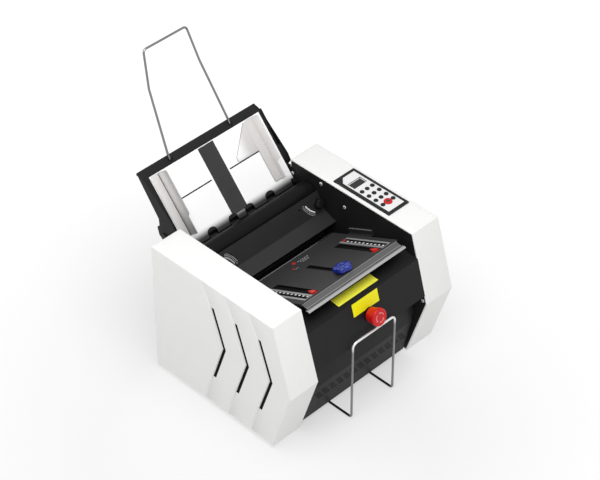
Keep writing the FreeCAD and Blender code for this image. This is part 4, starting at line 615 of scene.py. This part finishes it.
mark = {"rise": 0.25, "dots": ((1.8, -21.0, 4.3), (-19.0, -43.0, 2.0)), "dotEdge": 0.9, "dotTop": 1.3,
        "dotSoft": 0.5, "rows": ((9.8, 5), (11.8, 4), (14.8, 3)), "rowS": -24.0, "pitchX": 6.6, "pitchS": 6.5,
        "length": 4.4, "half": 0.9, "low": ((-19.0, -15.4), (-13.0, -9.4)), "lowS": (-50.0, -48.4)}
mesh = bmesh.new()
for x, s, r in mark["dots"]:
    dot = [(0, 0), (r, 0), (r, mark["dotEdge"]), (r - mark["dotSoft"], mark["dotTop"]), (0, mark["dotTop"])]
    addLathe(mesh, foldPlane @ shiftOf(x, s, 0), dot, steps=32)
finishPiece("fold_plate_red_dots", mesh, [looks["red_pointer"]], "base")
mesh = bmesh.new()   # short plain bars beside the dots
for row, (start, count) in enumerate(mark["rows"]):
    s = mark["rowS"] - row * mark["pitchS"]
    for col in range(count):
        x = start + col * mark["pitchX"]
        addBox(mesh, foldPlane, x, x + mark["length"], s - mark["half"], s + mark["half"], 0, mark["rise"])
for span in mark["low"]:
    addBox(mesh, foldPlane, *span, *mark["lowS"], 0, mark["rise"])
finishPiece("fold_plate_marks", mesh, [printGrey], "base", smooth=False)

rail = {"start": -104.0, "end": -32.0, "inX": 159.0, "outX": 162.9, "n0": 3.0, "n1": 3.3}
mesh = bmesh.new()   # painted highlight: bright strips on the upper edges of the rails that carry the fold plate
for side in (-1, 1):
    x0, x1 = sorted((side * rail["inX"], side * rail["outX"]))
    addBox(mesh, foldPlane, x0, x1, rail["start"], rail["end"], rail["n0"], rail["n1"])
finishPiece("rail_edge_highlights", mesh, [barLitGrey], "base", smooth=False)

bandShade = {"rows": 4, "cols": 13, "length": 15.0, "high": 2.6, "pitchX": 21.0, "pitchZ": 8.0, "first": 0.75,
         "topY": -183.7, "topZ": 112.0, "lowY": -161.7, "lowZ": 16.0, "limit": 157.0, "deep": 0.5, "thick": 0.4,
         "short": 0.1}
mesh = bmesh.new()   # black backs in the slots of the band under the front panel, painted shade for their dark inside
slope = Vector((0, bandShade["lowY"] - bandShade["topY"], bandShade["lowZ"] - bandShade["topZ"]))
bandDeg = degrees(atan2(slope.z, slope.y))
for row in range(bandShade["rows"]):
    down = (1 - bandShade["first"]) * slope.length + row * bandShade["pitchZ"]
    spot = slope * (down / slope.length)
    plane = frameOf(bandDeg, 0, bandShade["topY"] + spot.y, bandShade["topZ"] + spot.z)
    for col in range(bandShade["cols"]):
        x = (col - (bandShade["cols"] - 1) / 2 + row / bandShade["rows"]) * bandShade["pitchX"]
        if abs(x) + bandShade["length"] < bandShade["limit"]:
            half, rise = bandShade["length"] / 2 - bandShade["short"], bandShade["high"] / 2
            addBox(mesh, plane, x - half, x + half, -rise, rise, bandShade["deep"], bandShade["deep"] + bandShade["thick"])
finishPiece("band_vent_shade_backs", mesh, [deepBlack], "base", smooth=False)

bar = {"topY": -145.0, "topZ": 323.5, "lipY": -171.5, "lipZ": 318.5, "halfX": 142.9, "rearHalfX": 138.5,
       "under": -2.0, "faces": ((2.7, 1), (14.5, 0), (16.7, 1), (20.6, 2), (99.0, 3)),
       "rear": [(0, -7.6), (0, 0), (2.5, 0), (2.8, -0.8), (14.4, -0.8), (14.7, 0), (16.6, 0), (16.6, -7.6)],
       "front": [(16.62, -7.6), (16.62, -1.8), (20.4, -1.8), (20.8, -0.3), (23.0, 0)],
       "tip": [(1.3, -0.1), (0.3, -0.7), (0, -1.6), (0.4, -2.8)], "below": [(21.4, -2.9), (21.4, -7.6)]}
barDeg = degrees(atan2(bar["topZ"] - bar["lipZ"], bar["topY"] - bar["lipY"]))
barLength = hypot(bar["topY"] - bar["lipY"], bar["topZ"] - bar["lipZ"])
barPlane = frameOf(barDeg, 0, bar["topY"], bar["topZ"]) @ Matrix.Rotation(pi / 2, 4, "Z") \
    @ Matrix.Rotation(pi / 2, 4, "X") @ Matrix.Diagonal((-1, 1, 1, 1))   # x front, y up, z across
tip = [(barLength - back, high) for back, high in bar["tip"]]
mesh = bmesh.new()   # a rear rail and a front lip; each upper face has its own grey as painted light and shade, and the faces below are painted black as shade
addPrism(mesh, barPlane, bar["rear"], -bar["rearHalfX"], bar["rearHalfX"])
addPrism(mesh, barPlane, [*bar["front"], *tip, *bar["below"]], -bar["halfX"], bar["halfX"])
toBar = barPlane.inverted()
for face in mesh.faces:
    spot = toBar @ face.calc_center_median() / mm
    face.material_index = next(m for end, m in bar["faces"] if spot.x < end) if spot.y > bar["under"] else 4
finishPiece("fold_plate_bar_profile", mesh, [looks["bar_aluminium"], barLitGrey, barHalfLitGrey, barHighlightGrey, deepBlack],
            "base", soften=0.15, segments=1, replaced=("fold_plate_bar",))

stop = {"x": 4.4, "z": 240.6, "arcIn": 9.3, "arcOut": 11.5, "arcStart": 8, "arcEnd": 78, "tipR": 10.4, "tip": 100,
        "rootIn": 7.6, "rootOut": 13.2, "root": 77, "print": (31.6, 32.15), "starts": (0, 120, 240),
        "head": [(0, -9.5), (7.9, -9.5), (7.9, 13.5), (13.0, 13.5), (13.0, 5.5), (15.0, 5.5), (15.9, 6.1),
                 (16.3, 8.5), (16.9, 12.5), (17.8, 17.0), (18.8, 21.0), (19.6, 24.5), (20.0, 27.5), (19.9, 29.3),
                 (19.2, 31.1), (17.8, 32.3), (16.4, 32.8), (15.2, 32.9), (14.3, 32.5), (13.8, 31.9), (6.0, 31.6),
                 (0, 31.5)]}
share = (panel["bendZ"] - stop["z"]) / (panel["bendZ"] - panel["lowZ"])
stopY = panel["bendY"] + share * (panel["lowY"] - panel["bendY"])
stopPlane = frameOf(panelDeg, stop["x"], stopY, stop["z"])
mesh = bmesh.new()
addLathe(mesh, stopPlane, stop["head"], steps=96)
for start in stop["starts"]:   # three turning arrows, moulded in the face
    addArc(mesh, stopPlane, stop["arcIn"], stop["arcOut"], start + stop["arcStart"],
           start + stop["arcEnd"], *stop["print"], material=1, steps=12)
    tip, root = radians(start + stop["tip"]), radians(start + stop["root"])
    arrow = [(r * cos(t), r * sin(t)) for r, t in
             ((stop["rootIn"], root), (stop["rootOut"], root), (stop["tipR"], tip))]
    addPrism(mesh, stopPlane, arrow, *stop["print"], material=1)
finishPiece("stop_button_head", mesh, [looks["red_plastic"], redPrint], "stop_switch",
            replaced=("estop_button",))

knob = {"x": -1.6, "s": -186.0, "lobes": 5, "depth": 0.17, "sharp": 0.8, "stem": [(0, 0.6), (2.9, 0.6), (2.9, 3.3)],
        "grip": [(0, 3.3), (19.3, 3.3), (20.7, 3.8), (21.5, 5.1), (21.5, 11.3), (20.8, 13.0), (19.3, 14.2),
                 (16.9, 15.1), (0, 14.9)],
        "boss": [(11.6, 14.9), (11.2, 15.8), (9.6, 16.3), (8.4, 16.1), (7.8, 15.3), (0, 15.1)]}
knobPlane = foldPlane @ shiftOf(knob["x"], knob["s"], 0)
mesh = bmesh.new()
addLathe(mesh, knobPlane, knob["stem"], steps=60)
addLathe(mesh, knobPlane, knob["grip"], 150, knob["lobes"], knob["depth"], knob["sharp"])
addLathe(mesh, knobPlane, knob["boss"], steps=90)
finishPiece("clamp_knob", mesh, [looks["blue_plastic"]], "stopper_knob", replaced=("stop_knob",))

dial = {"x": 150.0, "share": 0.45, "leftX": -133.0, "leftShare": 0.40, "rise": 0.2, "inX": 13.0, "inY": 25.0,
        "bold": (45.4, 48.4, 199, 236), "fine": (54.4, 55.3, 197, 234), "tickIn": 50.4, "tickOut": 52.2,
        "tickLong": 53.4, "tickStart": 194, "tickStep": 2.75, "tickDeg": 1.2, "ticks": 16}
ribbed = {"skirt": [(0, 0.3), (12.0, 0.3), (12.0, 1.8), (11.4, 2.3), (9.0, 2.3)], "ribs": 24, "depth": 0.07,
          "grip": [(9.0, 2.2), (9.8, 2.6), (9.8, 11.6), (9.3, 12.7), (8.2, 13.3), (0, 13.3)],
          "stem": [(0, -5.8), (6.0, -5.8), (6.0, -1.8), (3.0, -1.8), (3.0, 0.3)]}
skewPlane = onFacet(dial["x"], dial["share"])
mesh = bmesh.new()
addLathe(mesh, skewPlane, ribbed["skirt"], steps=72)
addLathe(mesh, skewPlane, ribbed["grip"], 144, ribbed["ribs"], ribbed["depth"])
addLathe(mesh, skewPlane, ribbed["stem"], steps=36)
finishPiece("skew_knob_ribbed", mesh, [looks["black_plastic"]], "skew_control",
            replaced=("skew_knob",))
for label, x, share, halfTurn, bold in (("right", dial["x"], dial["share"], 0, printWhite),
                                        ("left", dial["leftX"], dial["leftShare"], pi, printGrey)):
    mesh = bmesh.new()   # a bold arc, a row of ticks and a fine arc
    plane = onFacet(x, share) @ Matrix.Rotation(halfTurn, 4, "Z") @ shiftOf(dial["inX"], dial["inY"], 0)
    addArc(mesh, plane, *dial["bold"], 0, dial["rise"], steps=20)
    for i in range(dial["ticks"]):
        turn = dial["tickStart"] + i * dial["tickStep"]
        addArc(mesh, plane, dial["tickIn"], dial["tickOut" if i % 3 else "tickLong"], turn,
               turn + dial["tickDeg"], 0, dial["rise"], 1, steps=1)
    addArc(mesh, plane, *dial["fine"], 0, dial["rise"], 1, steps=20)
    finishPiece("skew_dial_" + label, mesh, [bold, printGrey], "base", smooth=False)

cap = {"side": [(0, 333.3), (4.6, 333.3), (4.6, 337.8), (9.8, 337.8), (9.8, 338.7), (9.3, 338.7), (9.3, 344.2),
                (8.9, 344.8), (8.1, 345.1), (5.6, 345.1), (4.6, 344.9)],
       "face": [(4.6, 344.9), (4.2, 345.0), (0, 345.05)]}
keySpot = sum(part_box("stop_key"), Vector()) / 2
keyPlane = Matrix.Translation(Vector((keySpot.x, keySpot.y, 0)))
mesh = bmesh.new()
addLathe(mesh, keyPlane, cap["side"])
addLathe(mesh, keyPlane, cap["face"], material=1)
finishPiece("stop_key_cap", mesh, [looks["red_plastic"], keyCentre], "pad_stop_key",
            replaced=("stop_key",))

line = {"rise": 0.08, "end": 0.4, "out": 2.0, "in": 3.6}
mesh = bmesh.new()   # painted highlight: light lines along the display's rear and right edges, parting it from its dark outline
(gx0, gy0, _), (gx1, gy1, glassTop) = (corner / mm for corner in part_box("display_window"))
addBox(mesh, world, gx0 + line["end"], gx1 - line["out"], gy1 - line["in"], gy1 - line["out"],
       glassTop, glassTop + line["rise"])
addBox(mesh, world, gx1 - line["in"], gx1 - line["out"], gy0 + line["end"], gy1 - line["out"],
       glassTop, glassTop + line["rise"])
finishPiece("keypad_edge_highlights", mesh, [looks["label_white"]], "base", smooth=False)

screw = {"faceX": 163.0, "places": ((94.6, 324.5), (24.2, 300.3), (-206.0, 179.3), (180.4, 305.8)),
         "head": [(0, 0), (4.2, 0), (4.2, 0.5), (3.9, 1.1), (3.2, 1.5), (1.8, 1.5)],
         "socket": [(1.8, 1.5), (1.6, 1.3), (1.6, 0.9), (0, 0.7)]}
mesh = bmesh.new()
for side in (-1, 1):
    for y, z in screw["places"]:
        plane = Matrix.Translation(at(side * screw["faceX"], y, z)) @ Matrix.Rotation(-side * pi / 2, 4, "Y")
        addLathe(mesh, plane, screw["head"], steps=36)
        # the socket is painted black, as painted shade in its recess
        addLathe(mesh, plane, screw["socket"], steps=6, material=1)
finishPiece("frame_screw_heads", mesh, [looks["bright_screw"], deepBlack], "base",
            replaced=("frame_screws",))

guide = {"low": 12.0, "top": 160.0, "n0": 0.3, "n1": 1.8, "thick": 1.5, "flange": 21.0, "cut": 4.0, "studIn": 3.0,
         "slotU": 88.0, "stud": [(0, -8.3), (7.0, -8.3), (7.0, -4.3), (1.2, -4.3), (1.2, 0.3)], "lineRise": 0.08,
         "left": [(12.0, 0.3), (160.0, 0.3), (160.0, 32.1), (158.8, 34.9), (156.0, 36.1), (66.0, 36.1),
                  (59.0, 35.3), (56.0, 33.1), (52.0, 28.1), (14.0, 28.1), (12.0, 26.1)],
         "right": [(12.0, 0.3), (160.0, 0.3), (160.0, 27.6), (158.8, 30.4), (156.0, 31.6), (66.0, 31.6),
                   (59.0, 30.8), (56.0, 28.6), (52.0, 15.1), (14.0, 15.1), (12.0, 13.1)],
         "seam": (-137.9, -136.5, 13.0, 159.0, 1.8, 1.92), "end": [(159.7, 1.8), (159.7, 32.1)], "endWidth": 0.5,
         "lobe": [(52.6, 91.0), (52.6, 100.0), (108.0, 158.0), (112.0, 158.0), (112.0, 91.0)],
         "lines": (([(53.2, 91.5), (52.6, 100.0), (108.5, 157.6)], 1.0),
                   ([(112.4, 90.0), (112.4, 16.0), (116.0, 12.4), (133.0, 12.4)], 0.8))}
wallPlane = trayPlane @ turned
for label, wallX, wallLook in (("left", -136.4, guideWallPaintedShade), ("right", 133.0, guideWallRight)):
    g = guide
    edge, cut, n0, n1 = wallX - g["flange"], g["cut"], g["n0"], g["n1"]
    mesh = bmesh.new()   # a flange on the tray with a wall along its right edge
    addPrism(mesh, trayPlane, [(edge, g["low"] + cut), (edge + cut, g["low"]), (wallX, g["low"]), (wallX, g["top"]),
                               (edge + cut, g["top"]), (edge, g["top"] - cut)], n0, n1)
    addPrism(mesh, wallPlane, g[label], wallX, wallX + g["thick"], material=1)
    addLathe(mesh, trayPlane @ shiftOf(wallX - g["studIn"], g["slotU"], 0), g["stud"], steps=36)
    if label == "left":
        addBox(mesh, trayPlane, *g["seam"], material=4)
        addStrip(mesh, wallPlane, g["end"], g["endWidth"], wallX - g["lineRise"], wallX, material=2)
    else:
        addPrism(mesh, trayPlane, g["lobe"], n0, n1, material=3)
        for points, width in g["lines"]:
            addStrip(mesh, trayPlane, points, width, n1, n1 + g["lineRise"], material=2)
    finishPiece(label + "_guide_sheet", mesh, [looks["guide_plastic"], wallLook, sheetEdge, guideLobePaintedShade, edgeBlack],
                label + "_guide", soften=0.3, segments=2, replaced=(label + "_side_guide",))

apron = {"out": 150.0, "low": -14.0, "tyreLow": -3.5, "high": -0.2, "n0": -1.3, "n1": -0.2, "halfTyre": 12.5,
         "tyres": (-85.0, -24.0, 24.0, 85.0), "arch": 8.0, "archN0": 0.05, "archN1": 0.3, "archStep": 12}
mesh = bmesh.new()   # the tray's end carries on down between the feed tyres, its white darkening as painted shade towards the low edge
edges = [-apron["out"]]
for x in apron["tyres"]:
    edges += [x - apron["halfTyre"], x + apron["halfTyre"]]
edges.append(apron["out"])
for i, (x0, x1) in enumerate(zip(edges, edges[1:])):
    addBox(mesh, trayPlane, x0, x1, apron["tyreLow"] if i % 2 else apron["low"], apron["high"],
           apron["n0"], apron["n1"])
finishPiece("tray_apron", mesh, [apronPaintedShade], "tray", soften=0.2, segments=1)
mesh = bmesh.new()   # dark rounded ends of the cuts in the tray's sheet
turns = [radians(turn) for turn in range(0, 181, apron["archStep"])]
for x in apron["tyres"]:
    arch = [(x + apron["halfTyre"] * cos(turn), apron["tyreLow"] + apron["arch"] * sin(turn)) for turn in turns]
    addPrism(mesh, trayPlane, arch, apron["archN0"], apron["archN1"])
finishPiece("tray_cut_ends", mesh, [looks["roller_rubber"]], "tray", smooth=False)

rearGapShade = {"half": 145.0, "y0": 101.4, "y1": 102.6, "low": 289.0, "high": 297.5}
mesh = bmesh.new()   # a black lip on the rear sheet that closes the gap under the tray's end when it tips down, painted shade where the gap would show the floor
addBox(mesh, world, -rearGapShade["half"], rearGapShade["half"], rearGapShade["y0"], rearGapShade["y1"],
       rearGapShade["low"], rearGapShade["high"])
finishPiece("rear_gap_shade_lip", mesh, [deepBlack], "base", smooth=False)

edgeShade = {"in": 156.5, "out": 162.6, "low": -10.0, "high": 150.0, "n0": -4.2, "n1": -3.4}
mesh = bmesh.new()   # black strips under the gaps beside the tray's sheet, painted shade for the dark seen through the gaps
for x0, x1 in ((-edgeShade["out"], -edgeShade["in"]), (edgeShade["in"], edgeShade["out"])):
    addBox(mesh, trayPlane, x0, x1, edgeShade["low"], edgeShade["high"], edgeShade["n0"], edgeShade["n1"])
finishPiece("tray_edge_shade_strips", mesh, [looks["black_paint"]], "tray", smooth=False)

sleeve = {"x": 86.9, "y": 294.0, "z": 420.32, "deg": 15.06, "ring": [(3.0, 0), (4.6, 0), (4.6, 0.3), (3.0, 0.4)],
          "dotX": 7.0, "dot": [(0, 0), (1.7, 0), (1.7, 0.1), (0, 0.1)]}
mesh = bmesh.new()   # dark sleeves where the sheet wire enters the tray's top band, each with a dark dot beside it as painted shade for a hole
for side in (-1, 1):
    plane = frameOf(sleeve["deg"], side * sleeve["x"], sleeve["y"], sleeve["z"])
    addLathe(mesh, plane, sleeve["ring"], steps=40)
    addLathe(mesh, plane @ shiftOf(sleeve["dotX"], 0, 0), sleeve["dot"], steps=24)
finishPiece("wire_sleeves", mesh, [deepBlack], "tray")
print("stage: pieces made")

# the floor glows as painted light, dimmer near the machine and brighter further off, over a matte grey paint
floorTone = {"near": 0.50, "far": 0.84, "paint": 0.40, "x": -0.28, "y": -0.25, "start": 0.35, "end": 1.55,
             "half": 9.0}   # places in metres
floorMaterial = bpy.data.materials.new("floorWhite")
floorMaterial.use_nodes = True
tree = floorMaterial.node_tree
tree.nodes.clear()
matte = addNode(tree, "BsdfDiffuse", inputs={"Color": (*grey(floorTone["paint"]), 1)}).outputs[0]
coords = addNode(tree, "TexCoord").outputs["Object"]
away = addNode(tree, "VectorMath", {"operation": "DISTANCE"},
               {0: coords, 1: (floorTone["x"], floorTone["y"], 0.0)}).outputs["Value"]
strength = addNode(tree, "MapRange", inputs={
    "Value": away, "From Min": floorTone["start"], "From Max": floorTone["end"], "To Min": floorTone["near"],
    "To Max": floorTone["far"]}).outputs[0]
glow = addNode(tree, "Emission", inputs={"Strength": strength}).outputs[0]
both = addNode(tree, "AddShader", inputs={0: matte, 1: glow})
addNode(tree, "OutputMaterial", inputs={"Surface": both.outputs[0]})
mesh = bmesh.new()
bmesh.ops.create_grid(mesh, x_segments=1, y_segments=1, size=floorTone["half"])
data = bpy.data.meshes.new("floor")
mesh.to_mesh(data)
mesh.free()
data.materials.append(floorMaterial)
floor = addObject("floor", data)

studio = bpy.data.worlds.new("studio")
bpy.context.scene.world = studio
studio.use_nodes = True
tree = studio.node_tree
background = tree.nodes["Background"].inputs
background["Color"].default_value = (1, 1, 1, 1)
skyTone = {"lights": 0.39, "seen": 1.0}   # the world is white where it is seen or mirrored
rays = addNode(tree, "LightPath").outputs
seen = rays["Is Camera Ray"]
for kind in ("Glossy", "Transmission"):
    seen = addNode(tree, "Math", {"operation": "ADD", "use_clamp": True},
                   {0: seen, 1: rays["Is %s Ray" % kind]}).outputs[0]
sky = addNode(tree, "MapRange", inputs={
    "Value": seen, "To Min": skyTone["lights"], "To Max": skyTone["seen"]}).outputs[0]
tree.links.new(sky, background["Strength"])

lamps = {"overhead": ((-0.45, -0.62, 2.2), 1.8, 41), "leftFill": ((-2.0, 1.9, 1.1), 1.0, 8.5)}   # metres and watts
lampAim = Vector((0, 0, 0.25))
for name, (place, size, power) in lamps.items():
    data = bpy.data.lights.new(name, "AREA")
    data.shape = "RECTANGLE"
    data.size = data.size_y = size
    data.energy = power
    turn = (lampAim - Vector(place)).to_track_quat("-Z", "Y").to_matrix().to_4x4()
    addObject(name, data).matrix_world = Matrix.Translation(place) @ turn

view = {"x": -2502.5, "y": -2483.8, "z": 3323.0, "right": (0.7039, -0.7103, 0.0),
        "forward": (0.5409, 0.5360, -0.6481), "sensor": 36.0, "focal": 2233.0 / 600.0, "far": 100.0}
right, forward = Vector(view["right"]).normalized(), Vector(view["forward"]).normalized()
turn = Matrix((right, right.cross(forward), -forward)).transposed().to_4x4()
cameraData = bpy.data.cameras.new("camera")
cameraData.sensor_width = view["sensor"]
cameraData.lens = view["focal"] * view["sensor"]
cameraData.clip_end = view["far"]
camera = addObject("camera", cameraData)
camera.matrix_world = Matrix.Translation(at(view["x"], view["y"], view["z"])) @ turn
bpy.context.scene.camera = camera
bpy.context.scene.view_settings.view_transform = "Standard"
print("stage: light and camera set")
